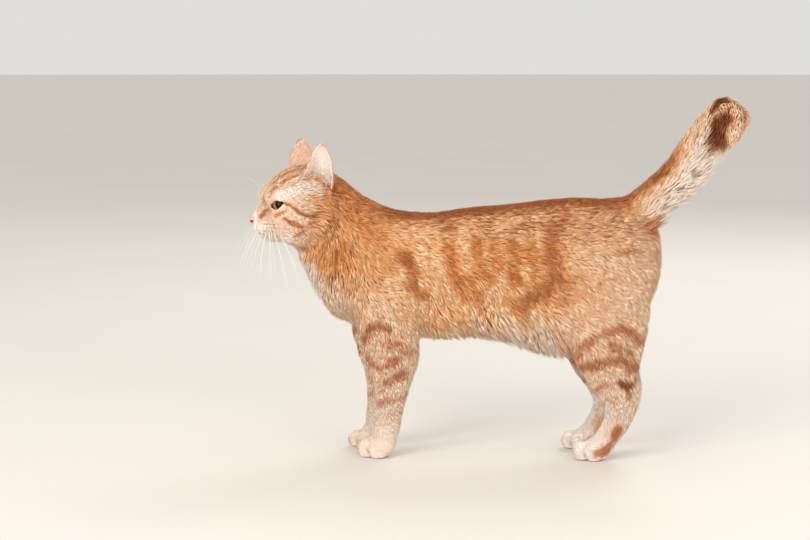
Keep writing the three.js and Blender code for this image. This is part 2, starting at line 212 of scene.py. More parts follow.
HINDLEG = [
    [-175, 23, 114, 22, 38, 40],
    [-150, 26, 110, 22, 38, 42],
    [-125, 29, 108, 19.5, 38, 41],
    [-108, 30, 108, 17.5, 33, 36],
    [-95, 30, 108, 15.5, 30.5, 31],
    [-85, 30, 111, 14, 26.5, 27],
    [-75, 30, 115, 12.5, 25, 26],
    [-64, 30, 120, 11.5, 21, 22],
    [-54, 29.5, 122.5, 11, 17.5, 18.5],
    [-45, 29, 122, 11, 14.5, 15],
    [-34, 29, 117, 11.5, 14, 14],
    [-24, 29, 111, 12, 14, 14],
    [-14, 29, 104, 12.5, 12.5, 13],
]
LIMB_CAPS = (20, 6)
STRIDE = {"fore": 13, "hind": 10}  # how far the right feet stand ahead of the left ones
PAWS = {
    "fore": {"rows": FORELEG, "heel": (-109.5, 26, 10), "toes": (-122.5, 26, 7.8), "turn": 8},
    "hind": {"rows": HINDLEG, "heel": (99, 29, 10), "toes": (85.5, 29, 8.6), "turn": 6},
}
HEEL_RADII = (15, 14.5, 10.5)
TOE_RADII = (9.5, 4.9, 8.8)
TOE_WIDTH = 7.4
OUTER_TOES_BACK = 10
TAIL = [
    [110, 0, 214, 27],
    [134, 0, 235, 20],
    [157, 0, 255, 18],
    [179, 0, 276, 19],
    [194, -1, 299, 19],
    [207, -4, 318, 18.5],
    [218, -13, 331, 17.5],
    [222, -25, 327, 15.5],
    [220, -35, 314, 13],
    [216, -39, 305, 8],
]
TAIL_STEPS = 36
HEAD_AT = np.array([-178, -2, 228])
HEAD_TURN = 18
HEAD_FORMS = [
    ((-13, 0, 16), (36, 36, 37)),  # cranium
    ((-42.5, 0, 12), (8.5, 8, 12)),  # stop, between the eyes
    ((-46, 0, 3.5), (12.5, 8, 8.5)),  # bridge of the nose
    ((-25, 0, -7), (24, 23, 15)),  # jaw
    ((-41, 0, -12.5), (8.5, 10, 7.5)),  # chin
]
HEAD_PAIRS = [
    ((-18, 22, -1), (26, 18, 23)),  # cheek
    ((-39.5, 15, 24), (10.5, 12, 7.5)),  # brow
    ((-46.5, 8, -4), (10.5, 10, 8.5)),  # whisker pad
]
NOSE_AT = np.array([-56.5, 0, 0.5])
NOSE_RADII = (5, 6.5, 4.6)
EYE_AT = np.array([-33, 18.5, 15.5])
EYE_RADIUS = 10.5
EYE_OUTWARDS = 38
EAR_BASE = np.array([-2.0, 29, 36])
EAR_TIP = np.array([-0.5, 42, 75.5])
EAR_FACING = np.array([-0.33, 0.94, 0])
EAR_HALF_WIDTH = 17.0
EAR_SUNK = 0.4
EAR_LEAN = {LEFT: 4, RIGHT: -2}
EAR_BOW = {LEFT: 2.3, RIGHT: 0}
MELTS = {"toes": 1.6, "paw": 5, "head forms": 9, "neck": 16, "head": 14, "tail": 14, "legs": 12}
SHARE_WIDTH = 7.0  # over about this width the rules of one group give way to those of the next

# %% The tail's middle line
def spline_point(points, place):
    """A point of a centripetal spline through the points, at a place counted in points."""
    last = len(points) - 1
    i = min(int(place), last - 1)
    t = place - i
    b = points[i]
    c = points[i + 1]
    a = points[i - 1] if i > 0 else 2 * b - c
    d = points[i + 2] if i + 2 <= last else 2 * c - b
    ab, bc, cd = (math.sqrt(math.dist(p, q)) for p, q in ((a, b), (b, c), (c, d)))
    leave = ((b - a) / ab - (c - a) / (ab + bc) + (c - b) / bc) * bc
    arrive = ((c - b) / bc - (d - b) / (bc + cd) + (d - c) / cd) * bc
    rise = c - b
    return b + t * (leave + t * (3 * rise - 2 * leave - arrive + t * (leave + arrive - 2 * rise)))


tail_rows = np.array(TAIL, float)
tail_places = np.linspace(0, len(TAIL) - 1, TAIL_STEPS + 1)
tail_line = np.array([spline_point(tail_rows[:, :3], place) for place in tail_places])
row_places, (row_radii,) = smooth_columns(np.column_stack([np.arange(len(TAIL)), tail_rows[:, 3]]))
tail_radii = np.interp(tail_places, row_places, row_radii)
print("tail length along its middle:", round(sum(map(math.dist, tail_line, tail_line[1:]))), "mm")


def tail_nearest(p):
    """Distance outside the tail, and the place along it from 0 to 1, for each point."""
    best = np.full(len(p), np.inf)
    place = np.zeros(len(p))
    for i, (start, end) in enumerate(zip(tail_line, tail_line[1:])):
        span = end - start
        t = np.clip((p - start) @ span / (span @ span), 0, 1)
        gap = np.linalg.norm(p - start - t[:, None] * span, axis=1)
        gap = gap - mixed(tail_radii[i], tail_radii[i + 1], t)
        closer = gap < best
        best = np.where(closer, gap, best)
        place = np.where(closer, (i + t) / TAIL_STEPS, place)
    return best, place


def on_tail(steps, place):
    """What is given at the tail's steps, at places along it from 0 to 1."""
    at = place * TAIL_STEPS
    return np.column_stack([np.interp(at, range(TAIL_STEPS + 1), steps[:, axis]) for axis in range(3)])


# %% Group the forms
def to_head(p):
    return (p - HEAD_AT) @ about_z(HEAD_TURN)


def from_head(q):
    return q @ about_z(HEAD_TURN).T + HEAD_AT


def to_neck(p):
    return (p - NECK_FROM) @ about_y(NECK_DIP)


def leg(kind, side):
    paw = PAWS[kind]
    shift = -STRIDE[kind] if side == RIGHT else 0
    rows = [[down, across * side, middle + shift, *reach] for down, across, middle, *reach in paw["rows"]]
    limb = placed(loft(rows, LIMB_CAPS), about_y(90))
    heel_at, toes_at = (np.array([x + shift, y * side, z]) for x, y, z in (paw["heel"], paw["toes"]))
    turned = about_z(-paw["turn"] * side)
    toes = [
        placed(ball((back, place * TOE_WIDTH, 0), TOE_RADII), turned, toes_at)
        for place, back in ((-1.5, OUTER_TOES_BACK), (-0.5, 0), (0.5, 0), (1.5, OUTER_TOES_BACK))
    ]
    return melted(MELTS["paw"], limb, melted(MELTS["toes"], ball(heel_at, HEEL_RADII), *toes))


head_balls = [ball(*form) for form in HEAD_FORMS]
for middle, radii in HEAD_PAIRS:
    head_balls += [ball((middle[0], middle[1] * side, middle[2]), radii) for side in (LEFT, RIGHT)]
head_forms = placed(melted(MELTS["head forms"], *head_balls), about_z(HEAD_TURN), HEAD_AT)
neck_form = placed(loft(NECK, (14, 30)), about_y(NECK_DIP), NECK_FROM)
GROUPS = {  # each with the low and the high corner of its box
    "trunk": nearby(loft(TRUNK, (26, 18)), (-166, -48, 104), (160, 48, 252)),
    "neck": nearby(neck_form, (-225, -42, 100), (-80, 42, 290)),
    "head": nearby(head_forms, (-240, -60, 200), (-135, 50, 285)),
    "tail": nearby(lambda p: tail_nearest(p)[0], (85, -55, 185), (242, 28, 350)),
    "fore_left": nearby(leg("fore", LEFT), (-140, -46, 0), (-70, -5, 160)),
    "hind_left": nearby(leg("hind", LEFT), (70, -52, 0), (155, 5, 195)),
    "fore_right": nearby(leg("fore", RIGHT), (-155, 5, 0), (-80, 46, 160)),
    "hind_right": nearby(leg("hind", RIGHT), (58, -5, 0), (146, 52, 195)),
}
NAMES = list(GROUPS)
LEGS = NAMES[4:]
print("groups:", ", ".join(NAMES))


def reaches(p):
    """How far each point is outside each group: one row for each group."""
    return np.stack([field(p) for field in GROUPS.values()])


def outline(reach):
    """The field of the whole animal, out to the tips of its coat."""
    whole, *others = reach
    widths = [MELTS["neck"], MELTS["head"], MELTS["tail"]] + [MELTS["legs"]] * len(LEGS)
    for other, width in zip(others, widths):
        whole = melt(whole, other, width)
    return whole


def shares(reach):
    """How much each group counts at each point: the shares add up to 1."""
    weight = np.exp(-(reach - reach.min(axis=0)) / SHARE_WIDTH)
    return dict(zip(NAMES, weight / weight.sum(axis=0)))


def slope(field, p, step=0.05):
    """The way out of a field at each point, by small steps along X, Y and Z."""
    here = field(p)
    return here, np.column_stack([(field(p + step * way) - here) / step for way in np.eye(3)])


# %% [markdown]
# ## How deep the coat is
# The skin lies inside the outline by the depth of the coat: about a centimetre under the belly's
# long hair, a few millimetres on the back, and hardly anything on the nose, eyelids and soles. The
# depth is blended from the groups, so that it changes as gently as the real coat does.

# %% Coat depth
DEPTHS = {  # in millimetres
    "muzzle": 1.0,
    "cheek": 4.2,
    "crown": 2.8,
    "eyelid": 0.4,
    "back": 4.0,
    "belly": 8.0,
    "neck": 4.8,
    "throat": 8.0,
    "tail": 5.5,
    "foot": 1.0,
    "shank": 2.2,
    "thigh": 4.0,
}


def folded(q):
    """Points of the head with those of its left half put on the right half."""
    return q * [1, 0, 1] + np.abs(q) * [0, 1, 0]


def head_depth(q):
    muzzle = 1 - ramp(-50, -24, q[:, 0])
    cheek = ramp(20, 34, np.abs(q[:, 1])) * ramp(-30, -8, q[:, 0])
    depth = mixed(mixed(DEPTHS["crown"], DEPTHS["cheek"], cheek), DEPTHS["muzzle"], muzzle)
    from_eye = np.linalg.norm(folded(q) - EYE_AT, axis=1) - EYE_RADIUS
    depth = mixed(DEPTHS["eyelid"], depth, ramp(1.5, 9, from_eye))
    return depth * ramp(5, 10, np.linalg.norm(q - NOSE_AT, axis=1))


def coat_depth(p, share):
    """The depth of the coat in millimetres, where the groups have these shares."""
    z = p[:, 2]
    belly = (1 - ramp(125, 160, z)) * ramp(-95, -50, p[:, 0])
    trunk = mixed(DEPTHS["back"], DEPTHS["belly"], belly)
    neck = mixed(DEPTHS["throat"], DEPTHS["neck"], ramp(-20, 5, to_neck(p)[:, 2]))
    leg_depth = mixed(DEPTHS["shank"], DEPTHS["thigh"], ramp(55, 125, z))
    leg_depth = mixed(DEPTHS["foot"], leg_depth, ramp(18, 60, z))
    depth = share["trunk"] * trunk + share["neck"] * neck + share["tail"] * DEPTHS["tail"]
    depth += sum(share[name] for name in LEGS) * leg_depth
    near_head = share["head"] > 0.01
    depth[near_head] += share["head"][near_head] * head_depth(to_head(p[near_head]))
    return depth * ramp(0.2, 5, z)


# %% [markdown]
# ## Eyelids, ears, mouth and toes
# These are cut into the same field. An eyelid is a thin shell round the eyeball with an almond
# opening, an ear is a sheet bent to an arc, and the mouth is a fine groove. Each has its own small
# field in the head's frame, and is joined to the skin or taken out of it with rounded edges.

# %% Eyelids
LID_TILT = 15
LID_HALF_LENGTH = 7.1
LID_UP = 3.3
LID_DOWN = 4.3
LID_WALL = 1.2
LID_INWARDS = -1.6  # the middle of the opening, from the middle of the eye's front
LID_RISE = 1.4
LID_SHELL = 4.5  # how far round its opening the lid is a shell of its own
LID_EDGE = 1.5
EYE_GAP = 0.15


def eye_place(q):
    """Where points are to the eye on their own side: out of the eye, towards the nose, and up."""
    e = folded(q) - EYE_AT
    c, s = cos_sin(EYE_OUTWARDS)
    return e @ [-c, s, 0], e @ [-s, -c, 0], e[:, 2], np.linalg.norm(e, axis=1)


def lid_opening(inwards, up):
    """Below 0 in the opening between the lids, whose inner corner lies lower than the outer one."""
    c, s = cos_sin(LID_TILT)
    inwards = inwards - LID_INWARDS
    up = up - LID_RISE
    along = inwards * c - up * s
    rise = inwards * s + up * c
    bow = 1 - (along / LID_HALF_LENGTH) ** 2
    return np.maximum(rise - LID_UP * bow, -LID_DOWN * bow - rise)


def with_lids(skin, q):
    out, inwards, up, radius = eye_place(q)
    opening = lid_opening(inwards, up)
    lid = radius - (EYE_RADIUS + LID_WALL)
    in_front = np.where(out > 0, np.minimum(lid, 2.6 - opening), -9.0)
    skin = hollowed(skin, -in_front, LID_EDGE)
    shell = np.maximum(np.maximum(lid, opening - LID_SHELL), -out)
    skin = melt(skin, shell, LID_EDGE)
    skin = np.where(out > 0, np.maximum(skin, -opening), skin)
    return np.maximum(skin, EYE_RADIUS + EYE_GAP - radius)


# %% Ears
EAR_WALL = 2.4
EAR_RIM = 2.0
EAR_INSET = 1.5  # the middle of the sheet lies this far inside its outer face
EAR_MELT = 3.0


def ear_frame(side):
    c, s = cos_sin(EAR_LEAN[side])
    rise = (EAR_TIP - EAR_BASE) @ np.array([[1, 0, 0], [0, c, -s], [0, s, c]])
    axis = rise / np.linalg.norm(rise)
    facing = unit(EAR_FACING - EAR_FACING @ axis * axis)
    return axis, facing, np.cross(axis, facing), np.linalg.norm(rise)


def ear_place(q, side):
    """Up the ear from 0 to 1, round its bend from -1 to 1, the distance to its sheet, and if inside."""
    axis, facing, width, height = ear_frame(side)
    rel = q * [1, side, 1] - EAR_BASE
    up = rel @ axis / height
    t = np.clip(up, -EAR_SUNK, 0.995)
    above = np.maximum(t, 0)
    back = 4 * EAR_BOW[side] * above * (1 - above)
    half = EAR_HALF_WIDTH * np.maximum(1 - above**2, 0.001) ** 0.54 - back
    bend = np.radians(mixed(78, 50, above))
    radius = half / np.sin(bend)
    across = rel @ width + back
    ahead = rel @ facing - radius * np.cos(bend)
    angle = np.clip(np.arctan2(across, -ahead), -bend, bend)
    middle = np.maximum(radius - EAR_INSET, 0.5)
    aside = (across - middle * np.sin(angle)) ** 2 + (ahead + middle * np.cos(angle)) ** 2
    gap = np.sqrt(aside + ((up - t) * height) ** 2)
    return up, angle / bend, gap, np.hypot(across, ahead) < middle


def ear(q, side):
    up, bend, gap, _ = ear_place(q, side)
    wall = mixed(EAR_WALL, EAR_RIM, ramp(0.6, 1.0, np.maximum(up, np.abs(bend) ** 2)))
    return gap - wall / 2


# %% Mouth
MOUTH = [
    (-59, 0, -3),
    (-58.5, 0, -8),
    (-56, 4, -11),
    (-50, 10, -12.2),
    (-42, 15.5, -11.5),
    (-36, 18.5, -10),
]
MOUTH_REACH = 0.9
MOUTH_EDGE = 1.2


def near_line(p, line, columns=(0, 1, 2)):
    """How far points are from a line through the given points, seen along the left-out axis."""
    line = np.array(line, float)
    p = p[:, list(columns)]
    best = np.full(len(p), np.inf)
    for start, end in zip(line, line[1:]):
        span = end - start
        t = np.clip((p - start) @ span / (span @ span), 0, 1)
        best = np.minimum(best, np.linalg.norm(p - start - t[:, None] * span, axis=1))
    return best


# %% The skin's own field
def skin_field(p):
    reach = reaches(p)
    skin = outline(reach) + coat_depth(p, shares(reach))
    q = to_head(p)
    near = np.all((q > [-70, -60, -35]) & (q < [45, 60, 90]), axis=1)
    if near.any():
        q = q[near]
        head = skin[near]
        for side in (LEFT, RIGHT):
            head = melt(head, ear(q, side), EAR_MELT)
        head = with_lids(head, q)
        head = hollowed(head, near_line(folded(q), MOUTH) - MOUTH_REACH, MOUTH_EDGE)
        skin[near] = head
    return np.maximum(skin, -p[:, 2])


# %% [markdown]
# ## The skin
# The surface of a field can be meshed with marching cubes, by voxels, or as here by surface nets:
# each cell of a grid that the surface passes through gets one corner, and each grid edge that
# crosses the surface gets a four-sided face between the corners round it. The faces are even and
# the mesh is closed by itself. The grid is fine where the face, ears and paws are, and coarse
# elsewhere, and the field is worked out only in blocks that the surface may pass.

# %% Grid
def spaced(start, *stretches):
    """Grid places from start on, in stretches of (up to, step)."""
    places = [start]
    for end, step in stretches:
        count = max(1, round((end - places[-1]) / step))
        places += list(np.linspace(places[-1], end, count + 1)[1:])
    return np.array(places)


GRID = (
    spaced(-241, (-186, 0.9), (-146, 1.25), (-86, 1.6), (62, 4.4), (118, 1.7), (246, 3.4)),
    spaced(-54, (54, 1.3)),
    spaced(-2, (30, 1.3), (196, 3.6), (309, 1.05), (354, 3.0)),
)
BLOCK = 6


def sampled(field, axes):
    """The field on the grid. Blocks that the surface can't pass only get the right sign."""
    shape = tuple(map(len, axes))
    edges = [np.arange(0, n, BLOCK) for n in shape]
    ends = [(axis[e], axis[np.minimum(e + BLOCK, len(axis) - 1)]) for axis, e in zip(axes, edges)]
    middles = np.stack(np.meshgrid(*[(low + high) / 2 for low, high in ends], indexing="ij"), -1)
    halves = np.stack(np.meshgrid(*[(high - low) / 2 for low, high in ends], indexing="ij"), -1)
    rough = field(middles.reshape(-1, 3)).reshape(middles.shape[:3])
    close = np.abs(rough) < np.linalg.norm(halves, axis=-1) * 1.5 + 3
    whole = [np.repeat(np.arange(len(e)), BLOCK)[:n] for e, n in zip(edges, shape)]
    values = rough[np.ix_(*whole)].astype(np.float32)
    at = np.nonzero(close[np.ix_(*whole)])
    values[at] = field(np.column_stack([axis[i] for axis, i in zip(axes, at)]))
    return values


# %% Surface nets
CORNERS = [(i & 1, (i >> 1) & 1, i >> 2) for i in range(8)]  # steps to the corners of a cell
CELL_EDGES = [(a, a | bit) for a in range(8) for bit in (1, 2, 4) if not a & bit]


def cell_corners(values, axes):
    """Cells that the surface passes, and the middle of the places where it crosses their edges."""
    slices = [tuple(slice(s, n - 1 + s) for s, n in zip(steps, values.shape)) for steps in CORNERS]
    count = sum((values[part] < 0).astype(np.int8) for part in slices)
    cells = np.nonzero((count > 0) & (count < 8))
    value = [values[part][cells].astype(float) for part in slices]
    place = [np.column_stack([axis[i + s] for axis, i, s in zip(axes, cells, steps)]) for steps in CORNERS]
    total = np.zeros((len(cells[0]), 3))
    crossings = np.zeros(len(cells[0]))
    for a, b in CELL_EDGES:
        crossed = (value[a] < 0) != (value[b] < 0)
        t = np.where(crossed, value[a] / np.where(crossed, value[a] - value[b], 1), 0)[:, None]
        total += np.where(crossed[:, None], place[a] + (place[b] - place[a]) * t, 0)
        crossings += crossed
    number = np.full(count.shape, -1)
    number[cells] = np.arange(len(cells[0]))
    return total / crossings[:, None], number


def nets(values, axes):
    """Corners and four-sided faces of the surface where the values pass 0."""
    corners, number = cell_corners(values, axes)
    inside = values < 0
    faces = []
    for axis, along in enumerate(np.eye(3, dtype=int)):
        low = tuple(slice(0, -1) if step else slice(1, -1) for step in along)
        high = tuple(slice(1, None) if step else slice(1, -1) for step in along)
        crossed = np.array(np.nonzero(inside[low] != inside[high])).T + (1 - along)
        b = np.roll(along, 1)
        c = np.roll(along, 2)
        ring = np.stack([number[tuple((crossed + step).T)] for step in (-b - c, -c, 0 * b, -b)], 1)
        leaving = inside[tuple(crossed.T)]
        faces.append(np.where(leaving[:, None], ring, ring[:, ::-1]))
    return corners, np.concatenate(faces)


SETTLING_ROUNDS = 2


def settled(field, points):
    """The points moved onto the surface, along the way out of the field."""
    for _ in range(SETTLING_ROUNDS):
        out, way = slope(field, points)
        points = points - way * (out / np.maximum((way**2).sum(axis=1), 0.3))[:, None]
    return points


skin_points, skin_faces = nets(sampled(skin_field, GRID), GRID)
skin_points = settled(skin_field, skin_points)
print("skin:", len(skin_points), "corners and", len(skin_faces), "faces")

# %% [markdown]
# ## The lie of the coat
# Hair grows out of the skin at a slant, and which way it slants decides how light runs over an
# animal: back from the nose, along the back, down the flanks, down the legs and forward over the
# toes, and out along the tail. A fur system would comb guide hairs by hand. Here the lie is a
# second field: each group has a rule for its own direction, the rules are blended like the coat's
# depth, and the result is laid flat against the body.

# %% Waves
def waves(seed, size, count=8):
    """A smooth random field of about -1 to 1, made of plane waves of about this length in mm."""
    draw = np.random.default_rng(seed)
    ways = unit(draw.normal(size=(count, 3))) * draw.uniform(0.7, 1.5, (count, 1)) * 2 * math.pi / size
    phases = draw.uniform(0, 2 * math.pi, count)
    return lambda p: np.sin(p @ ways.T + phases).sum(axis=1) / math.sqrt(count)


# %% Directions
DIPS_Z = [95, 110, 140, 170, 200, 225, 255]  # heights at which the dips below are given
DIPS = {  # degrees below level that the hair points, from the belly to the back
    "shoulder": [80, 72, 45, 18, 8, 4, 4],
    "flank": [85, 80, 66, 46, 20, 8, 4],
    "hip": [60, 52, 38, 28, 22, 12, 8],
}
NECK_DIPS = ([-45, -20, 5, 25], [112, 98, 72, 34])  # heights in the neck's frame, and dips there
LEG_DIPS_Z = [0, 12, 26, 45, 80, 130, 170]
LEG_DIPS = {"fore": [170, 150, 100, 84, 80, 66, 40], "hind": [170, 150, 100, 84, 70, 45, 35]}
LIE_FROM = np.array([-74.0, 0, 6])  # the hair of the head points away from here, ahead of the nose
SPREAD = 0.22  # how far the hair of the trunk turns away from the spine


def slanted(dip):
    return np.column_stack([np.cos(np.radians(dip)), np.zeros(len(dip)), -np.sin(np.radians(dip))])


def trunk_lie(p):
    shoulder, flank, hip = (np.interp(p[:, 2], DIPS_Z, dips) for dips in DIPS.values())
    dip = mixed(mixed(shoulder, flank, ramp(-105, -60, p[:, 0])), hip, ramp(30, 75, p[:, 0]))
    lie = slanted(dip)
    lie[:, 1] = np.sign(p[:, 1]) * SPREAD * ramp(0, 14, np.abs(p[:, 1]))
    return lie


def neck_lie(p):
    return slanted(np.interp(to_neck(p)[:, 2], *NECK_DIPS))


def head_lie(p):
    q = to_head(p)
    lie = unit(q - LIE_FROM)
    lie[:, 2] -= 0.5 * ramp(10, 30, np.abs(q[:, 1])) * (1 - ramp(0, 25, q[:, 2]))
    return lie @ about_z(HEAD_TURN).T


tail_steps = unit(np.gradient(tail_line, axis=0))
print("dips of the trunk's hair, from belly to back:", DIPS)


def tail_lie(p):
    return unit(on_tail(tail_steps, tail_nearest(p)[1]))


def leg_lie(kind):
    return lambda p: slanted(np.interp(p[:, 2], LEG_DIPS_Z, LEG_DIPS[kind]))


LIE_RULES = {"trunk": trunk_lie, "neck": neck_lie, "head": head_lie, "tail": tail_lie}
LIE_RULES |= {name: leg_lie(name.split("_")[0]) for name in LEGS}
LEAST_SHARE = 0.01  # a group that counts less than this is left out


def coat_lie(p, share, out):
    """The way that the hair points at each point, laid flat against the body with this way out."""
    lie = np.zeros_like(p)
    for name in NAMES:
        some = share[name] > LEAST_SHARE
        lie[some] += share[name][some, None] * LIE_RULES[name](p[some])
    lie -= (lie * out).sum(axis=1)[:, None] * out
    return unit(lie)

# %% [markdown]
# ## Markings
# A ginger tabby's pattern is darker strokes on a pale ground: bars on the flanks and legs, lines on
# the cheeks, a stripe along the spine, rings at the end of the tail, and white on the paws, muzzle
# and belly. Each stroke is a line with a width, given as seen from the side, and both sides share
# it with their own wavering. The result is four numbers for each point: how much stripe, white and
# brown the hair has there, and how bare the skin is. Skin and tufts both carry them.

# %% Strokes of the trunk and neck
# Each row: half width, strength of the stripe, strength of the brown, and points (x, z).
BODY_STROKES = [
    (3.5, 0.8, 0.1, [(-50, 231), (-41, 222)]),
    # partly a real dark streak and partly painted shade in the fold behind the shoulder
    (5.5, 1.0, 0.45, [(-86, 194), (-79, 187), (-76, 177), (-78, 168), (-69, 160)]),
    (5.5, 0.9, 0.0, [(-45, 206), (-42, 194), (-38, 182), (-36, 176), (-31, 168), (-27, 160)]),
    (5.5, 0.9, 0.0, [(-19, 213), (-17, 202), (-15, 192), (-10, 183), (-5, 175)]),
    (4.5, 0.8, 0.0, [(-23, 175), (-19, 166), (-14, 158)]),
    (5.0, 0.9, 0.0, [(-2, 212), (2, 198), (3, 188)]),
    (5.5, 1.0, 0.0, [(18, 206), (19, 194), (17, 185), (20, 172)]),
    (5.0, 0.9, 0.0, [(32, 217), (36, 202), (38, 188), (40, 176)]),
    (8.5, 1.0, 0.3, [(55, 223), (54, 207), (55, 194), (59, 184), (57, 175), (50, 168), (45, 162)]),
    (6.5, 1.0, 0.35, [(45, 162), (31, 154), (26, 148)]),
    (4.5, 0.9, 0.1, [(70, 235), (66, 228), (55, 217)]),
    (4.0, 0.8, 0.0, [(84, 178), (75, 175), (69, 168)]),
    (5.0, 0.8, 0.0, [(88, 161), (78, 158), (63, 152)]),
    (4.0, 0.7, 0.0, [(98, 170), (106, 176), (112, 182)]),
    (2.2, 1.0, 0.35, [(116, 200), (127, 201), (139, 202)]),
    (5.0, 0.9, 0.0, [(104, 150), (93, 146), (87, 135), (75, 124), (68, 108)]),
    (3.5, 0.5, 0.0, [(-127, 246), (-121, 242)]),
]
NECK_STROKES = [
    (1.6, 0.9, 0.4, [(-154, 234), (-158, 224), (-166, 213)]),
    (1.6, 0.9, 0.4, [(-148, 232), (-153, 218), (-160, 206)]),
    (2.0, 0.9, 0.35, [(-150, 202), (-151, 185), (-156, 165)]),
    (5.0, 0.8, 0.0, [(-139, 204), (-148, 190), (-154, 177), (-161, 171)]),
    (3.0, 0.6, 0.0, [(-162, 204), (-166, 190)]),
    (5.0, 0.7, 0.1, [(-153, 262), (-151, 238)]),
]

# %% Strokes of the legs and tail
HIND_STROKES = [
    (5.0, 0.9, 0.0, [(76, 100), (87, 114), (95, 119), (107, 125), (119, 128), (130, 124), (137, 116)]),
    (1.5, 0.9, 0.4, [(119, 122), (128, 119), (134, 114)]),
    (3.5, 0.8, 0.0, [(112, 112), (121, 112), (128, 109), (132, 101)]),
    (5.0, 0.9, 0.05, [(83, 88), (93, 93), (102, 95), (112, 96), (121, 99), (132, 92)]),
    (7.0, 0.6, 0.0, [(122, 96), (131, 88)]),
    (3.5, 1.0, 0.6, [(120, 77), (128, 72), (136, 77)]),
    (2.5, 0.7, 0.2, [(128, 71), (129, 61)]),
    (3.0, 0.8, 0.0, [(98, 69), (104, 73), (111, 74)]),
    (2.5, 0.4, 0.0, [(109, 61), (116, 56)]),
    (5.0, 1.0, 0.1, [(118, 30), (115, 21), (108, 12), (98, 8)]),
]
FORE_STROKES = [
    (4.5, 0.9, 0.25, [(-125, 115), (-117, 127), (-107, 130), (-99, 127)]),
    (4.0, 0.8, 0.0, [(-106, 110), (-96, 112), (-87, 112)]),
    (3.0, 0.7, 0.0, [(-88, 104), (-77, 104)]),
    (4.0, 0.9, 0.0, [(-125, 99), (-119, 92), (-112, 88), (-105, 89), (-100, 94), (-91, 96)]),
    (4.0, 0.9, 0.05, [(-103, 75), (-94, 79), (-83, 83)]),
    (2.5, 0.4, 0.0, [(-109, 70), (-107, 64)]),
    (3.5, 0.7, 0.0, [(-112, 52), (-103, 56), (-91, 57), (-84, 61)]),
    (3.0, 0.25, 0.0, [(-101, 42), (-90, 43)]),
]
TAIL_STROKES = [
    (3.0, 0.9, 0.5, [(152, 268), (163, 275)]),
    (3.2, 1.0, 0.85, [(206, 333), (211, 342), (218, 346)]),
    (9.0, 1.0, 0.95, [(216, 328), (214, 324)]),
    (8.0, 1.0, 0.9, [(211, 317), (209, 306)]),
]

# %% Strokes of the head, in its own frame
FACE_STROKES = [
    (1.9, 1.0, 0.5, [(-32.6, 18.5), (-28.3, 17), (-24, 13.8), (-20.4, 10.5), (-16, 7.7), (-11, 6), (-5, 6.4),
                     (2, 11)]),
    (2.4, 0.9, 0.05, [(-40.5, 7), (-35.8, 9.5), (-31.3, 12)]),
    (1.8, 1.0, 0.1, [(-33.5, 4), (-28, 0), (-22.7, -2.2), (-15.2, -4), (-11, -2.4), (-5, -0.5)]),
    (1.6, 0.9, 0.05, [(-23.9, -14), (-18.6, -9.6), (-11.9, -6.3), (-6, -2)]),
    (1.7, 0.95, 0.05, [(-52.5, 4.5), (-50.3, 7.2), (-46.5, 10.5)]),
    (1.6, 0.9, 0.15, [(-46.3, 24.2), (-43.6, 29), (-39.2, 33.1)]),
]
CROWN_STROKES = [  # seen from above: half width, stripe, brown, and points (x, y)
    (1.7, 0.9, 0.05, [(-46, 4), (-30, 5), (-12, 4.5), (6, 5)]),
    (1.7, 0.9, 0.05, [(-46, 11), (-28, 13), (-12, 13), (4, 12)]),
    (2.0, 0.9, 0.05, [(-32, 20), (-14, 22), (-2, 19), (12, 16)]),
]
BROW_LINE = [(-37, 26), (-27, 28.5), (-16, 32.5), (-6, 34), (3, 30)]  # the white band above the eye
WHISKER_ROWS = [  # height, x from and to, and how many spots
    (-2.3, -50, -42.5, 4),
    (-5.4, -52.6, -40.3, 6),
    (-9, -50.3, -42.6, 4),
]

# %% Strokes that waver
wobble_wide = waves(11, 22)
wobble_fine = waves(12, 7)
short_dashes = waves(13, 4)


def stroked(p, strokes, soft, columns=(0, 2)):
    """How much stripe and brown the strokes give. Their edges end at soft times the half width."""
    stripe, brown = np.zeros((2, len(p)))
    waver = 1.6 * wobble_wide(p) + 0.7 * wobble_fine(p)
    for half, orange, dark, points in strokes:
        gap = near_line(p, points, columns)
        reach = 1 - ramp(0.15, soft, (gap + waver * min(1, half / 4)) / half)
        stripe = np.maximum(stripe, reach * orange)
        brown = np.maximum(brown, reach * dark)
    return stripe, brown


# %% Marks of the trunk and neck
BELLY_EDGE = ([-120, -60, -20, 20, 60], [96, 112, 122, 130, 128])  # x, and how high the white reaches


def trunk_marks(p):
    stripe, brown = stroked(p, BODY_STROKES, 2.1)
    upper = ramp(206, 222, p[:, 2] + 4 * wobble_wide(p)) * ramp(-80, -50, p[:, 0])
    ticks = ramp(0.1, 0.9, short_dashes(p * [0.25, 1, 1])) * upper
    spine = (1 - ramp(13, 26, np.abs(p[:, 1]) + 3 * wobble_fine(p))) * ramp(206, 222, p[:, 2])
    stripe = np.maximum(0.8 * stripe, np.maximum(0.25 * upper + 0.55 * ticks, spine))
    brown = np.maximum(0.6 * brown, np.maximum(0.42 * ticks, 0.45 * spine))
    edge = np.interp(p[:, 0], *BELLY_EDGE) + 6 * wobble_wide(p)
    white = 0.65 * (1 - ramp(edge - 18, edge + 18, p[:, 2]))
    hip = ramp(60, 90, p[:, 0]) * ramp(165, 190, p[:, 2]) * (1 - spine)
    white = np.maximum(white, (0.14 * hip + 0.12 * upper) * (1 - spine) * (1 - ticks))
    return stripe, white * (1 - 0.7 * stripe), np.maximum(brown, 0.10 * hip)


def neck_marks(p):
    stripe, brown = stroked(p, NECK_STROKES, 1.8)
    height = to_neck(p)[:, 2]
    nape = ramp(10, 36, height + 3 * wobble_fine(p))
    stripe = np.maximum(stripe, mixed(0.3, 0.8, nape))
    throat = 1 - ramp(-42, -26, height + 4 * wobble_wide(p))
    return stripe * (1 - throat), 0.75 * throat, brown


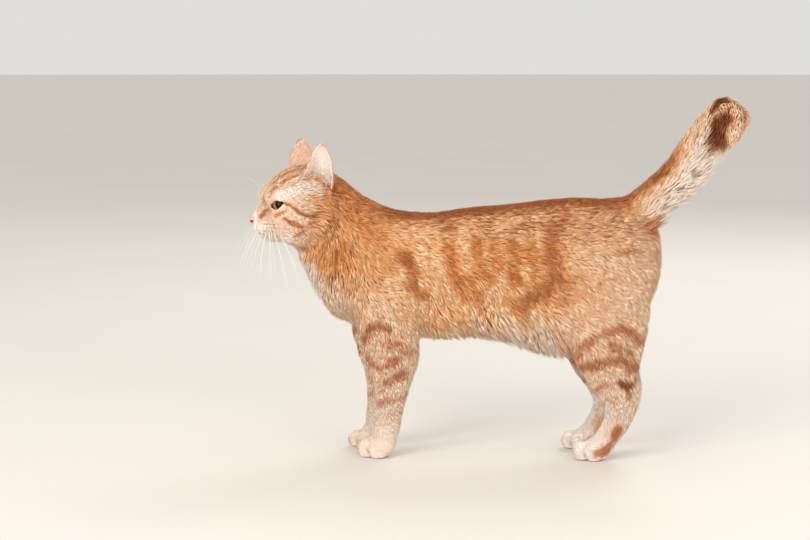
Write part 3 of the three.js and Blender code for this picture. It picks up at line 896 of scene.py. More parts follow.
# %% Marks of the tail and legs
HIND_MIDDLE = ([0, 20, 45, 60, 80], [103, 108, 119, 118, 108])  # heights, and the leg's middle there


def tail_marks(p):
    _, place = tail_nearest(p)
    way = tail_lie(p)
    top = unit(np.column_stack([-way[:, 2], np.zeros(len(p)), np.abs(way[:, 0]) + 0.05]))
    above = ((p - on_tail(tail_line, place)) * top).sum(axis=1) / 18 + 0.12 * wobble_fine(p)
    stripe, brown = stroked(p, TAIL_STROKES, 1.5)
    spine = ramp(0.30, 0.80, above) * (1 - ramp(0.30, 0.48, place))
    under = 1 - ramp(-0.45, 0.55, above - 0.35 * ramp(0.2, 0.5, place))
    white = 0.8 * under * ramp(0.05, 0.22, place) * (1 - 0.7 * ramp(0.6, 0.7, place))
    white = np.maximum(white, 0.26 * ramp(0.34, 0.48, place))
    dark = np.maximum(stripe, 0.9 * spine)
    return dark, white * (1 - brown) * (1 - stripe), np.maximum(brown, 0.2 * spine)


def leg_marks(p, kind, side):
    p = p + [STRIDE[kind] if side == "right" else 0, 0, 0]
    stripe, brown = stroked(p, HIND_STROKES if kind == "hind" else FORE_STROKES, 1.5)
    inner = 1 - ramp(16, 27, np.abs(p[:, 1]))
    if kind == "hind":
        front = 1 - ramp(-9, 3, p[:, 0] - np.interp(p[:, 2], *HIND_MIDDLE))
        sock = np.maximum(1 - ramp(18, 32, p[:, 2]), front * (1 - ramp(48, 66, p[:, 2])))
    else:
        # the fore socks are really white; making them weaker than the hind ones is painted shade on the
        # forepaws
        sock = 0.85 * (1 - ramp(24, 70, p[:, 2] + 3 * wobble_wide(p)))
    pale = mixed(0.62, 0.28, ramp(30, 120, p[:, 2]))
    white = np.maximum(np.maximum(0.95 * sock, 0.75 * inner), pale) * (1 - 0.85 * stripe)
    hide = 1 - 0.8 * inner
    return stripe * hide, white, (brown + 0.14 * stripe) * hide


# %% Marks of the head
def head_marks(p):
    q = to_head(p)
    stripe, brown = stroked(q, FACE_STROKES, 1.45)
    side = ramp(4, 11, np.abs(q[:, 1]))
    stripe = stripe * side
    brown = brown * side
    crown, _ = stroked(folded(q), CROWN_STROKES, 1.6, (0, 1))
    stripe = np.maximum(stripe, crown * ramp(22, 32, q[:, 2]))
    back = ramp(2, 16, q[:, 0] + 2 * wobble_fine(p))
    stripe = np.maximum(stripe, 0.6 * back)
    for z, x0, x1, count in WHISKER_ROWS:
        for x in np.linspace(x0, x1, count):
            spot = np.hypot(q[:, 0] - x, q[:, 2] - z)
            brown = np.maximum(brown, 0.75 * (1 - ramp(0.35, 1.1, spot)) * ramp(8, 12, np.abs(q[:, 1])))
    brown = np.maximum(brown, 0.5 * (1 - ramp(0.5, 1.5, near_line(folded(q), MOUTH))))
    muzzle = (1 - ramp(-46, -30, q[:, 0] + 1.5 * wobble_fine(p))) * (1 - ramp(-4, 3, q[:, 2]))
    chin = (1 - ramp(-14, -8, q[:, 2])) * (1 - ramp(-30, -4, q[:, 0]))
    brow = 1 - ramp(3.5, 8.5, near_line(q, BROW_LINE, (0, 2)))
    brow = brow * ramp(14, 22, np.abs(q[:, 1]))
    white = np.maximum(np.maximum(0.9 * muzzle, 0.8 * chin), 0.95 * brow)
    white = np.maximum(white, 0.5 * (1 - ramp(-24, 8, q[:, 0])))
    _, inwards, up, radius = eye_place(q)
    rim = (1 - ramp(0.2, 1.1, lid_opening(inwards, up))) * (1 - ramp(1.2, 2.4, radius - EYE_RADIUS))
    brown = np.maximum(brown, rim)
    stripe = stripe * (1 - 0.9 * np.maximum(brow, muzzle))
    return stripe, white * (1 - rim) * (1 - 0.9 * stripe), brown


def ear_share(p, reach_out):
    """1 on the ears' sheets, where they stand clear of the head, and how far inside their bend."""
    q = to_head(p)
    share, inner = np.zeros((2, len(p)))
    near = np.nonzero(np.all((q > [-40, -65, 20]) & (q < [40, 65, 90]), axis=1))[0]
    for side in (LEFT, RIGHT):
        some = near[q[near, 1] * side > 0]
        up, _, gap, inside = ear_place(q[some], side)
        on = (1 - ramp(1.6, 3.2, gap)) * ramp(-1.5, 1.5, reach_out[some]) * ramp(-0.05, 0.05, up)
        share[some] = on
        inner[some] = on * inside
    return share, inner


# %% All markings together
MARK_RULES = {"trunk": trunk_marks, "neck": neck_marks, "head": head_marks, "tail": tail_marks}
for name in LEGS:
    kind, side = name.split("_")
    MARK_RULES[name] = functools.partial(leg_marks, kind=kind, side=side)
EAR_OUTSIDE = np.array([0.2, 0.35, 0.0, 0.4])  # stripe, white, brown and bare skin
EAR_INSIDE = np.array([0.0, 0.85, 0.0, 0.55])


def markings(p, share, ears, inner):
    """Stripe, white, brown and bare skin at each point, one column each."""
    marks = np.zeros((len(p), 4))
    for name in NAMES:
        some = share[name] > LEAST_SHARE
        marks[some, :3] += share[name][some, None] * np.column_stack(MARK_RULES[name](p[some]))
    marks = mixed(marks, EAR_OUTSIDE, ears[:, None])
    marks = mixed(marks, EAR_INSIDE, inner[:, None])
    nose = 1 - ramp(5.5, 7.5, np.linalg.norm(to_head(p) - NOSE_AT, axis=1))
    sole = 1 - ramp(0.3, 1.6, p[:, 2])
    marks[:, 3] = np.maximum(marks[:, 3], np.maximum(nose, sole))
    return marks


# %% [markdown]
# ## Finishes
# Blender's materials are graphs of nodes. Written out one by one they hide what they mean, so a
# small class wraps each output and lets Python's own operators add the Math nodes. Another holds
# one finish: its nodes, its links and the shader at the end. The coat's finish mixes apricot,
# rust, white and brown by the markings that the points carry, and paints shade on each tuft
# towards its root, where shade falls between the tufts.

# %% Nodes as expressions
class Flow:
    """One output of a node. Operators on it add the Math nodes that work them out."""

    def __init__(self, finish, socket):
        self.finish = finish
        self.socket = socket

    def math(self, operation, *values):
        return self.finish.node("ShaderNodeMath", {"operation": operation}, dict(enumerate(values)))

    def __add__(self, other):
        return self.math("ADD", self, other)

    def __radd__(self, other):
        return self.math("ADD", other, self)

    def __sub__(self, other):
        return self.math("SUBTRACT", self, other)

    def __rsub__(self, other):
        return self.math("SUBTRACT", other, self)

    def __mul__(self, other):
        return self.math("MULTIPLY", self, other)

    def __rmul__(self, other):
        return self.math("MULTIPLY", other, self)

    def __truediv__(self, other):
        return self.math("DIVIDE", self, other)

    def ramp(self, low, high):
        """0 at low and 1 at high, with a smooth rise between."""
        ends = {"Value": self, "From Min": low, "From Max": high}
        return self.finish.node("ShaderNodeMapRange", {"interpolation_type": "SMOOTHSTEP"}, ends)


class Finish:
    """A material whose nodes are written as expressions, with one Principled shader at its end."""

    def __init__(self, name, sockets):
        self.material = bpy.data.materials.new(name)
        self.material.use_nodes = True
        self.tree = self.material.node_tree
        self.tree.nodes.clear()
        self.shader = self.tree.nodes.new("ShaderNodeBsdfPrincipled")
        out = self.tree.nodes.new("ShaderNodeOutputMaterial")
        self.tree.links.new(self.shader.outputs[0], out.inputs["Surface"])
        self.set(self.shader, sockets)

    def set(self, made, values):
        for key, value in values.items():
            if isinstance(value, Flow):
                self.tree.links.new(value.socket, made.inputs[key])
            else:
                made.inputs[key].default_value = value

    def node(self, kind, settings=None, inputs=None, output=0):
        made = self.tree.nodes.new(kind)
        for key, value in (settings or {}).items():
            setattr(made, key, value)
        self.set(made, inputs or {})
        return Flow(self, made.outputs[output])

    def mix(self, a, b, share):
        settings = {"data_type": "RGBA", "blend_type": "MIX", "clamp_factor": True}
        return self.node("ShaderNodeMix", settings, {0: share, 6: a, 7: b}, output=2)

    def attribute(self, name, output="Color"):
        return self.node("ShaderNodeAttribute", {"attribute_name": name}, output=output)

    def channels(self, name):
        """The red, green and blue of a colour attribute, and its alpha."""
        split = self.tree.nodes.new("ShaderNodeSeparateColor")
        self.tree.links.new(self.attribute(name).socket, split.inputs[0])
        return *[Flow(self, socket) for socket in split.outputs], self.attribute(name, "Alpha")

    def noise(self, scale, detail=2.0, vector=None):
        place = vector or self.node("ShaderNodeTexCoord", output="Object")
        return self.node("ShaderNodeTexNoise", {}, {"Vector": place, "Scale": scale, "Detail": detail})

    def bump(self, height, strength, distance):
        sockets = {"Height": height, "Strength": strength, "Distance": distance}
        return self.node("ShaderNodeBump", {}, sockets)

    def end(self, **sockets):
        self.set(self.shader, {key.replace("_", " "): value for key, value in sockets.items()})
        return self.material


def colour(red, green, blue):
    """A colour given as it shows on a screen, from 0 to 255, as light."""
    light = [((c / 255 + 0.055) / 1.055) ** 2.4 if c > 10 else c / 3294 for c in (red, green, blue)]
    return (*light, 1.0)


# %% Coat and skin
PALE = colour(252, 218, 176)
APRICOT = colour(234, 162, 96)
RUST = colour(192, 104, 38)
WHITE = colour(248, 238, 230)
BROWN = colour(110, 50, 18)
PINK = colour(213, 184, 188)
CREAM = colour(255, 236, 208)
# painted shade: the warm dark colour of the shade between the tufts, put on their roots and on the skin
ROOT_SHADE = colour(206, 124, 66)
COAT_SHADER = {"Roughness": 0.65, "Specular IOR Level": 0.2, "Sheen Weight": 0.06, "Sheen Roughness": 0.5}
SKIN_SHADER = {"Roughness": 0.7, "Specular IOR Level": 0.25}


def marked_colour(finish, tone):
    """The coat's colour with its markings, how plain it is, its white and its bare skin."""
    stripe, white, brown, bare = finish.channels("marks")
    depth = stripe * 0.68 + 0.3 - tone * 0.16
    ground = finish.mix(finish.mix(PALE, APRICOT, depth.ramp(0.0, 0.5)), RUST, depth.ramp(0.45, 1.0))
    ground = finish.mix(ground, WHITE, white)
    plain = (1 - stripe * 0.7) * (1 - brown * 0.7)
    return finish.mix(ground, BROWN, brown), plain, white, bare


def coat_finish():
    finish = Finish("coat_hair", COAT_SHADER)
    tone, along, lock, _ = finish.channels("hair")
    ground, plain, white, _ = marked_colour(finish, (tone * 1.6 - 0.8) + (lock * 2.4 - 1.2))
    # painted shade: each tuft darkens towards its root, less on white hair, where the tufts over it would
    # shade it
    root_shade = finish.mix(ground, ROOT_SHADE, 0.45 - white * 0.42)
    shaded = finish.mix(root_shade, ground, along.ramp(0.0, 0.6))
    tipped = finish.mix(shaded, CREAM, along.ramp(0.5, 1.0) * (0.10 + tone * 0.4) * plain)
    return finish.end(Base_Color=tipped)


def skin_finish():
    finish = Finish("coat_short", SKIN_SHADER)
    streaks = finish.noise(900.0, 3.0)
    ground, _, white, bare = marked_colour(finish, streaks * 2.0 - 1.0)
    # painted shade: the skin is darkened towards the colour of the shade between the tufts, less under white
    # hair
    shaded = finish.mix(ground, ROOT_SHADE, 0.15 - white * 0.14)
    flesh = finish.mix(shaded, PINK, bare)
    return finish.end(Base_Color=flesh, Normal=finish.bump(streaks, 0.35, 0.0006))


coat_material = coat_finish()
skin_material = skin_finish()
print("nodes of the coat's finish:", len(coat_material.node_tree.nodes))


# %% Make a mesh from arrays
def piece(name, points, faces, material, attributes, uv=None):
    """A smooth mesh object from points in millimetres, faces of one size, and attributes of points."""
    mesh = bpy.data.meshes.new(name)
    size = faces.shape[1]
    mesh.vertices.add(len(points))
    mesh.vertices.foreach_set("co", (points * MM).astype(np.float32).ravel())
    mesh.loops.add(faces.size)
    mesh.loops.foreach_set("vertex_index", faces.astype(np.int32).ravel())
    mesh.polygons.add(len(faces))
    mesh.polygons.foreach_set("loop_start", np.arange(0, faces.size, size, dtype=np.int32))
    mesh.polygons.foreach_set("use_smooth", np.ones(len(faces), bool))
    for key, values in attributes.items():
        layer = mesh.attributes.new(key, "FLOAT_COLOR", "POINT")
        layer.data.foreach_set("color", values.astype(np.float32).ravel())
    if uv is not None:
        layer = mesh.uv_layers.new(name="OFBake")
        layer.uv.foreach_set("vector", uv[faces.ravel()].astype(np.float32).ravel())
    mesh.update(calc_edges=True)
    mesh.materials.append(material)
    made = bpy.data.objects.new(name, mesh)
    bpy.context.scene.collection.objects.link(made)
    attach(made, "root")
    return made


# %% The skin as a piece
skin_reach = reaches(skin_points)
skin_share = shares(skin_reach)
skin_ears, skin_inner = ear_share(skin_points, outline(skin_reach))
skin_marks = markings(skin_points, skin_share, skin_ears, skin_inner)
skin = piece("skin", skin_points, skin_faces, skin_material, {"marks": skin_marks})
FLESH = [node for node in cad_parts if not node.startswith(("eye", "nose"))]
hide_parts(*FLESH)
print("skin stands for", len(FLESH), "solids")

# %% [markdown]
# ## The coat
# Fur in a render is usually particle hair, which is lost when a model leaves Blender. These are
# tufts of real mesh: thin three-sided blades that taper to a point, lie along the coat and overlap
# like tiles. Each rises from the skin to the outline while it runs back, and it is set against the
# field at its middle and its tip, so it hugs the body wherever it grows. Neighbours in one lock
# share a tone and lean together, which makes the streaks that a coat shows.

# %% Where tufts grow, and how large
COVER = 4.0  # how many tufts lie over one another in the long coat
TAIL_COVER = 3.8
HEAD_COVER = 2.6
MUZZLE_COVER = 1.2
LEAST_DEPTH = 0.35


def coat_rules(p, out, share, ears, inner):
    """Length, width, lift and depth of the tufts at each point, and how many grow on a square mm."""
    z = p[:, 2]
    q = to_head(p)
    under = ramp(0.1, 0.75, -out[:, 2])
    belly = under * ramp(-85, -45, p[:, 0]) * (1 - ramp(140, 165, z))
    throat = 1 - ramp(-38, -14, to_neck(p)[:, 2])
    _, place = tail_nearest(p)
    fringe = ramp(0.0, 0.7, out[:, 0] * 0.75 - out[:, 2] * 0.65) * (1 - ramp(0.6, 0.8, place))
    muzzle = 1 - ramp(-52, -22, q[:, 0])
    cheek = ramp(16, 32, np.abs(q[:, 1])) * ramp(-22, 2, q[:, 0])
    rear = ramp(0.2, 0.9, out[:, 0]) * ramp(55, 80, z)
    rump = ramp(0.3, 0.9, out[:, 0])
    low = ramp(10, 60, z)
    high = ramp(55, 125, z)
    rules = {  # group: length, width, lift and cover
        "trunk": (
            mixed(12.5, 19, belly),
            mixed(0.95, 1.1, belly),
            0.03 + 0.5 * belly + 0.14 * rump,
            COVER,
        ),
        "neck": (mixed(13, 17, throat), 1.0, 0.06 + 0.25 * throat, COVER),
        "head": (
            mixed(mixed(6.0, 9.5, cheek), 3.4, muzzle),
            mixed(0.85, 0.6, muzzle),
            0.04 + 0.06 * cheek,
            mixed(HEAD_COVER, MUZZLE_COVER, muzzle),
        ),
        "tail": (mixed(12, 20, fringe), 1.0, 0.05 + 0.5 * fringe, TAIL_COVER),
        "leg": (
            mixed(4.0, mixed(7.5, 11.5, high), low) + 3 * rear,
            mixed(0.55, mixed(0.65, 0.9, high), low),
            0.03 + 0.18 * rear,
            mixed(1.0, mixed(2.2, COVER, high), low),
        ),
    }
    length, width, lift, cover = (
        sum(share[name] * rules.get(name, rules["leg"])[column] for name in NAMES) for column in range(4)
    )
    fluff = ear_fluff(q, inner)
    length = mixed(mixed(length, 3.2, ears), 8, fluff)
    width = mixed(mixed(width, 0.6, ears), 0.7, fluff)
    depth = mixed(coat_depth(p, share), 0.5, ears)
    lift = mixed(lift, 0.3, fluff)
    cover = mixed(mixed(cover, 1.0, ears), 1.8, fluff)
    dense = cover / (length * width * 0.5)
    dense = np.where(bald(p, q, out), 0, dense) * mixed(1, 0.3, inner * (1 - fluff))
    return length, width, lift, np.maximum(depth, LEAST_DEPTH), dense


def bald(p, q, out):
    """Where no tuft grows: on the rims of the eyelids, the nose leather and the soles."""
    _, inwards, up, radius = eye_place(q)
    lids = (radius < EYE_RADIUS + 2.2) & (lid_opening(inwards, up) < 1.3)
    nose = np.linalg.norm(q - NOSE_AT, axis=1) < 7.0
    soles = (p[:, 2] < 1.0) | ((p[:, 2] < 4) & (out[:, 2] < -0.6))
    return lids | nose | soles


def ear_fluff(q, inner):
    """1 where the long pale hair inside an ear grows: low down, and along its front edge."""
    fluff = np.zeros(len(q))
    for side in (LEFT, RIGHT):
        some = np.nonzero((inner > 0.05) & (q[:, 1] * side > 0))[0]
        up, bend, _, _ = ear_place(q[some], side)
        low = 1 - ramp(0.12, 0.4, up)
        front = ramp(0.45, 0.8, bend) * (1 - ramp(0.45, 0.7, up))
        fluff[some] = inner[some] * np.maximum(low, front)
    return fluff


# %% Roots
corner = skin_points[skin_faces]
face_middle = corner.mean(axis=1)
face_cross = np.cross(corner[:, 2] - corner[:, 0], corner[:, 3] - corner[:, 1]) / 2
face_area = np.linalg.norm(face_cross, axis=1)
face_reach = reaches(face_middle)
face_share = shares(face_reach)
face_ears = ear_share(face_middle, outline(face_reach))
*_, face_dense = coat_rules(face_middle, unit(face_cross), face_share, *face_ears)
expected = np.cumsum(face_area * face_dense)
print("skin area", round(face_area.sum() / 100), "cm2, tufts", round(expected[-1]))

draw = np.random.default_rng(2024)
tuft_count = int(expected[-1])
counted = np.arange(tuft_count) + draw.uniform(0, 1, tuft_count)
grown_on = np.searchsorted(expected, np.minimum(counted, expected[-1] * 0.999999))
u, v = draw.uniform(0, 1, (2, tuft_count, 1))
a, b, c, d = (corner[grown_on, i] for i in range(4))
roots = mixed(mixed(a, b, u), mixed(d, c, u), v)
root_out = unit(slope(skin_field, roots, 0.25)[1])
root_reach = reaches(roots)
root_share = shares(root_reach)
root_ears, root_inner = ear_share(roots, outline(root_reach))
length, width, lift, depth, _ = coat_rules(roots, root_out, root_share, root_ears, root_inner)

# %% Which way each tuft runs
swirl_wide = waves(21, 45)
swirl_fine = waves(22, 11)
lie = coat_lie(roots, root_share, root_out)
for side in (LEFT, RIGHT):
    up_ear = from_head(ear_frame(side)[0] * [1, side, 1]) - HEAD_AT
    on = root_ears * (to_head(roots)[:, 1] * side > 0)
    flat = up_ear - (root_out @ up_ear)[:, None] * root_out
    lie = unit(mixed(lie, unit(flat), on[:, None]))
tousle = mixed(12, 22, root_share["neck"]) + 6 * root_share["trunk"]
degrees = tousle * (0.7 * swirl_wide(roots) + 0.6 * swirl_fine(roots)) + draw.normal(0, 5, len(roots))
turned = np.radians(degrees)[:, None]
across = np.cross(root_out, lie)
lie = np.cos(turned) * lie + np.sin(turned) * across
across = np.cross(root_out, lie)

# %% Locks
LOCK = 4.2  # size of a lock in mm
lock_shift = np.column_stack([waves(31 + axis, 9)(roots) for axis in range(3)]) * 2.2
middles = roots + lie * length[:, None] * 0.6 + lock_shift
lock_size = (LOCK * np.clip(length / 12, 0.4, 1.3))[:, None].round(1)
_, lock = np.unique(np.floor(middles / lock_size).astype(int), axis=0, return_inverse=True)
lock = lock.ravel()
lock_tone = np.random.default_rng(5).uniform(0, 1, lock.max() + 1)[lock]
tone = draw.uniform(0, 1, len(roots))
print("locks:", lock.max() + 1)


# %% Raise the tufts
WIDEST = 0.45  # how far along a tuft its widest ring is
SUNK = 0.4  # how deep a tuft's root is in the skin
length = length * draw.uniform(0.75, 1.2, len(roots))
tip_height = depth * draw.uniform(0.55, 1.04, len(roots))
tip_height = tip_height + lift * length * draw.uniform(0.4, 1.2, len(roots))
curl = draw.normal(0, 0.06, len(roots)) * length
centres = [roots - root_out * SUNK]
for station in (WIDEST, 1.0):
    wanted = tip_height * (1 - (1 - station) ** 1.7)
    at = roots + lie * (length * station)[:, None] + across * (curl * station**2)[:, None]
    at = at + root_out * wanted[:, None]
    at = at + root_out * np.clip(wanted - skin_field(at), -4, 4)[:, None]
    at[:, 2] = np.maximum(at[:, 2], 0.6)
    centres.append(at)
weight = np.bincount(lock)
lock_tip = np.column_stack([np.bincount(lock, centres[-1][:, axis]) / weight for axis in range(3)])[lock]
gathering = 0.38 * ramp(5, 13, length) + 0.3 * ramp(0.2, 0.45, lift)
gathered = (lock_tip - centres[-1]) * gathering[:, None]
centres[-1] += gathered
centres[1] += gathered * 0.4

# %% Blades
RING_WIDTHS = (0.7, 1.0)
RIDGE = 0.2  # height of a blade as a share of its width


def blades(rows):
    """Points of the chosen tufts: rings of three corners, then the tip."""
    half = width[rows, None] / 2
    rings = []
    for centre, size in zip(centres[:-1], RING_WIDTHS):
        aside = across[rows] * half * size
        ridge = root_out[rows] * half * 2 * RIDGE * size
        rings += [centre[rows] + aside, centre[rows] + ridge, centre[rows] - aside]
    return np.stack([*rings, centres[-1][rows]], axis=1)


BLADE_FACES = np.array(
    [[0, 2, 1]]
    + [face for i, j in ((0, 1), (1, 2), (2, 0)) for face in ([i, j, 3 + j], [i, 3 + j, 3 + i])]
    + [[3, 4, 6], [4, 5, 6], [5, 3, 6]]
)
BLADE_ALONG = np.array([0, 0, 0, WIDEST, WIDEST, WIDEST, 1.0])
BLADE_ASIDE = np.array([-0.5, 0, 0.5, -0.5, 0, 0.5, 0])
PATCH = 0.003

marks_at = roots + lie * length[:, None] * 0.6 + root_out * depth[:, None] * 0.6
marks_reach = reaches(marks_at)
marks_out = np.where(root_ears > 0.5, 5.0, outline(marks_reach))
tuft_marks = markings(marks_at, shares(marks_reach), *ear_share(marks_at, marks_out))


# %% Pieces of the coat
def half_turn(p, start, length, height):
    """Places along X and round one half of a body whose middle lies at this height."""
    return (p[:, 0] - start) / length, np.arctan2(np.abs(p[:, 1]), p[:, 2] - height) / math.pi


def full_turn(across, up):
    return np.arctan2(across, up) / 2 / math.pi + 0.5


def round_tail(p):
    _, place = tail_nearest(p)
    way = tail_lie(p)
    top = unit(np.column_stack([-way[:, 2], np.zeros(len(p)), way[:, 0]]))
    off = p - on_tail(tail_line, place)
    return place, full_turn((off * np.cross(way, top)).sum(axis=1), (off * top).sum(axis=1))


def round_leg(p, kind, side):
    shift, middle_y = (-STRIDE[kind], 27) if side == "right" else (0, -27)
    rows = np.array(PAWS[kind]["rows"], float)
    middle = np.interp(-p[:, 2], rows[:, 0], rows[:, 2]) + shift
    return p[:, 2] / 200, full_turn(p[:, 1] - middle_y, p[:, 0] - middle)


def unwrapped(name, p):
    """Where roots lie on an unwrap of the skin: a place along the body part and an angle round it."""
    if name == "head":
        places = half_turn(to_head(p), -62, 90, 2)
    elif name == "neck":
        places = half_turn(to_neck(p), -35, 130, 0)
    elif name == "trunk":
        places = half_turn(p, -160, 320, 172)
    elif name == "belly":
        places = (p[:, 0] + 160) / 320, p[:, 1] / 100 + 0.5
    elif name == "tail":
        places = round_tail(p)
    else:
        places = round_leg(p, *name.split("_"))
    return np.clip(np.column_stack(places), 0, 1) * 0.98 + 0.01


# %% Which piece each tuft belongs to
leading = np.array(NAMES)[np.argmin(root_reach, axis=0)]
leading = np.where(root_ears > 0.3, "head", leading)
on_belly = (leading == "trunk") & (root_out[:, 2] < -0.3) & (roots[:, 2] < 150)
leading = np.where(on_belly, "belly", leading)
IN_HALVES = ("head", "neck", "trunk")
coat_pieces = {}
for name in ("head", "neck", "trunk", "belly", "tail", *LEGS):
    rows = leading == name
    if name in IN_HALVES:
        across_middle = to_head(roots)[:, 1] if name == "head" else roots[:, 1]
        coat_pieces[f"{name}_left"] = name, np.nonzero(rows & (across_middle < 0))[0]
        coat_pieces[f"{name}_right"] = name, np.nonzero(rows & (across_middle > 0))[0]
    else:
        coat_pieces[name] = name, np.nonzero(rows)[0]
print("pieces of the coat:", ", ".join(coat_pieces))

# %% Pieces of the coat
CORNER_COUNT = len(BLADE_ALONG)
patch = np.column_stack([BLADE_ASIDE, BLADE_ALONG - 0.5]) * PATCH
for title, (name, rows) in coat_pieces.items():
    points = blades(rows)
    faces = (np.arange(len(rows))[:, None, None] * CORNER_COUNT + BLADE_FACES).reshape(-1, 3)
    hair = np.stack(np.broadcast_arrays(tone[rows, None], BLADE_ALONG, lock_tone[rows, None], 1.0), axis=-1)
    attributes = {
        "marks": np.repeat(tuft_marks[rows], CORNER_COUNT, axis=0),
        "hair": hair.reshape(-1, 4),
    }
    uv = unwrapped(name, roots[rows])[:, None] + patch
    points = points.reshape(-1, 3)
    piece(f"coat_{title}", points, faces, coat_material, attributes, uv.reshape(-1, 2))
    print(title, len(rows), "tufts,", len(faces), "triangles")
print("tufts in all:", sum(len(rows) for _, rows in coat_pieces.values()))

# %% [markdown]
# ## Eyes
# A cat's eye is a ball of 21 mm with a clear bulge in front, and nearly all that shows of it is
# iris and pupil. It could be two shells, a clear one over a painted one, but at this size one
# shell with a wet coat reads the same and survives export. Its rings run out from the middle of
# the pupil, and each point keeps its place across the eye, from which the finish draws the pupil,
# the fibres of the iris and its dark rim. Both eyes look a little to the cat's left.

# %% Eye finish
EYE_GAZE = {LEFT: 64, RIGHT: 16}  # degrees outwards that each eye looks
EYE_LIFT = 13
IRIS_REACH = 0.74  # as a share of the eye's radius
PUPIL_HALF = (0.37, 0.45)  # across and up, as shares of the eye's radius
EYE_SHADER = {"Roughness": 0.3, "Coat Weight": 0.1, "Coat Roughness": 0.04, "Specular IOR Level": 0.1}
IRIS_INNER = colour(150, 102, 56)
IRIS_OUTER = colour(104, 64, 38)
IRIS_FIBRE = colour(176, 134, 88)
IRIS_RIM = colour(38, 20, 12)
PUPIL_BLACK = colour(8, 7, 7)


def eye_finish():
    finish = Finish("eye_wet", EYE_SHADER)
    across, up, _, _ = finish.channels("place")
    x = across * 2.0 - 1.0
    y = up * 2.0 - 1.0
    away = finish.node("ShaderNodeMath", {"operation": "SQRT"}, {0: x * x + y * y})
    angle = finish.node("ShaderNodeMath", {"operation": "ARCTAN2"}, {0: y, 1: x})
    around = finish.node("ShaderNodeCombineXYZ", {}, {"X": angle * 9.0, "Y": away * 3.0})
    fibres = finish.noise(1.0, 3.0, around)
    oval = (x / PUPIL_HALF[0]) * (x / PUPIL_HALF[0]) + (y / PUPIL_HALF[1]) * (y / PUPIL_HALF[1])
    iris = finish.mix(IRIS_INNER, IRIS_OUTER, away.ramp(0.40, 0.66))
    iris = finish.mix(iris, IRIS_FIBRE, fibres.ramp(0.45, 0.75) * 0.4)
    edged = finish.mix(iris, IRIS_RIM, away.ramp(IRIS_REACH - 0.08, IRIS_REACH))
    return finish.end(Base_Color=finish.mix(edged, PUPIL_BLACK, 1 - oval.ramp(0.9, 1.12)))


eye_material = eye_finish()
print("nodes of the eyes' finish:", len(eye_material.node_tree.nodes))

# %% Eyeballs
BULGE = 0.7
BULGE_REACH = math.radians(40)
RINGS = 40
SPOKES = 56


def ring(i, j):
    """The number of a point of an eye: ring i, spoke j."""
    return 1 + (i - 1) * SPOKES + j % SPOKES


def eyeball(side):
    """The points and triangles of an eye, and each point's place across it."""
    gaze_cos, gaze_sin = cos_sin(EYE_GAZE[side])
    lift_cos, lift_sin = cos_sin(EYE_LIFT)
    ahead = np.array([-gaze_cos * lift_cos, side * gaze_sin * lift_cos, lift_sin])
    right = unit(np.cross(ahead, [0, 0, 1]))
    above = np.cross(right, ahead)
    away = np.repeat(math.pi * np.arange(1, RINGS) / RINGS, SPOKES)
    away = np.concatenate([[0], away, [math.pi]])
    turn = np.tile(2 * math.pi * np.arange(SPOKES) / SPOKES, RINGS - 1)
    turn = np.concatenate([[0], turn, [0]])
    radius = EYE_RADIUS + BULGE * np.maximum(1 - (away / BULGE_REACH) ** 2, 0) ** 2
    x = np.sin(away) * np.cos(turn)
    y = np.sin(away) * np.sin(turn)
    way = x[:, None] * right + y[:, None] * above + np.cos(away)[:, None] * ahead
    points = from_head(EYE_AT * [1, side, 1] + way * radius[:, None])
    behind = np.where(away > math.pi / 2, 2.0, 1.0)  # the far half never counts as iris
    place = np.column_stack([x * behind * 0.5 + 0.5, y * behind * 0.5 + 0.5, np.cos(away), np.ones(len(x))])
    last = len(x) - 1
    faces = [(0, ring(1, j), ring(1, j + 1)) for j in range(SPOKES)]
    for i in range(1, RINGS - 1):
        for j in range(SPOKES):
            a = ring(i, j)
            b = ring(i + 1, j)
            c = ring(i + 1, j + 1)
            d = ring(i, j + 1)
            faces += [(a, b, c), (a, c, d)]
    faces += [(last, ring(RINGS - 1, j + 1), ring(RINGS - 1, j)) for j in range(SPOKES)]
    return points, np.array(faces), place


for side, name in ((LEFT, "left"), (RIGHT, "right")):
    points, faces, place = eyeball(side)
    eye = piece(f"eyeball_{name}", points, faces, eye_material, {"place": place})
    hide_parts(f"eye_{name}")
    print(eye.name, len(faces), "triangles")

# %% [markdown]
# ## Nose leather
# The nose is bare pink skin, a rounded wedge that narrows downwards, with a comma-shaped nostril
# on each side. It is small but everyone looks at it, so it gets a field and a fine grid of its own
# instead of the skin's, and stays a separate piece with a damp pebbled finish.

# %% Nose field
NOSTRIL_AT = np.array([-60.2, 3.9, -0.4])
NOSTRIL_RADII = (2.6, 1.5, 1.1)
NOSTRIL_SLIT = [(-59.5, 4.8, -0.2), (-57.0, 6.4, 0.9), (-55.0, 7.2, 0.6)]
NOSE_FURROW = [(-62, 0, 0), (-61, 0, -7)]
NOSE_STEP = 0.42
NOSE_GRID = tuple(np.arange(low, high, NOSE_STEP) for low, high in ((-64, -48), (-9, 9), (-7, 8)))


def nose_field(q):
    lump = ball(NOSE_AT, NOSE_RADII)(q)
    wedge = np.abs(q[:, 1]) - (5.4 + 0.85 * (q[:, 2] - NOSE_AT[2]))
    leather = hollowed(lump, -wedge / 1.3, 1.6)
    half = folded(q)
    leather = hollowed(leather, ball(NOSTRIL_AT, NOSTRIL_RADII)(half), 0.8)
    leather = hollowed(leather, near_line(half, NOSTRIL_SLIT) - 0.45, 0.6)
    return hollowed(leather, near_line(half, NOSE_FURROW) - 0.35, 0.8)


# %% Nose finish
NOSE_SHADER = {"Roughness": 0.42, "Coat Weight": 0.25, "Coat Roughness": 0.35}
NOSE_PINK = colour(232, 178, 162)
NOSE_RED = colour(216, 142, 130)
# painted shade: the dark red put into the nostrils
NOSTRIL_SHADE = colour(120, 48, 44)


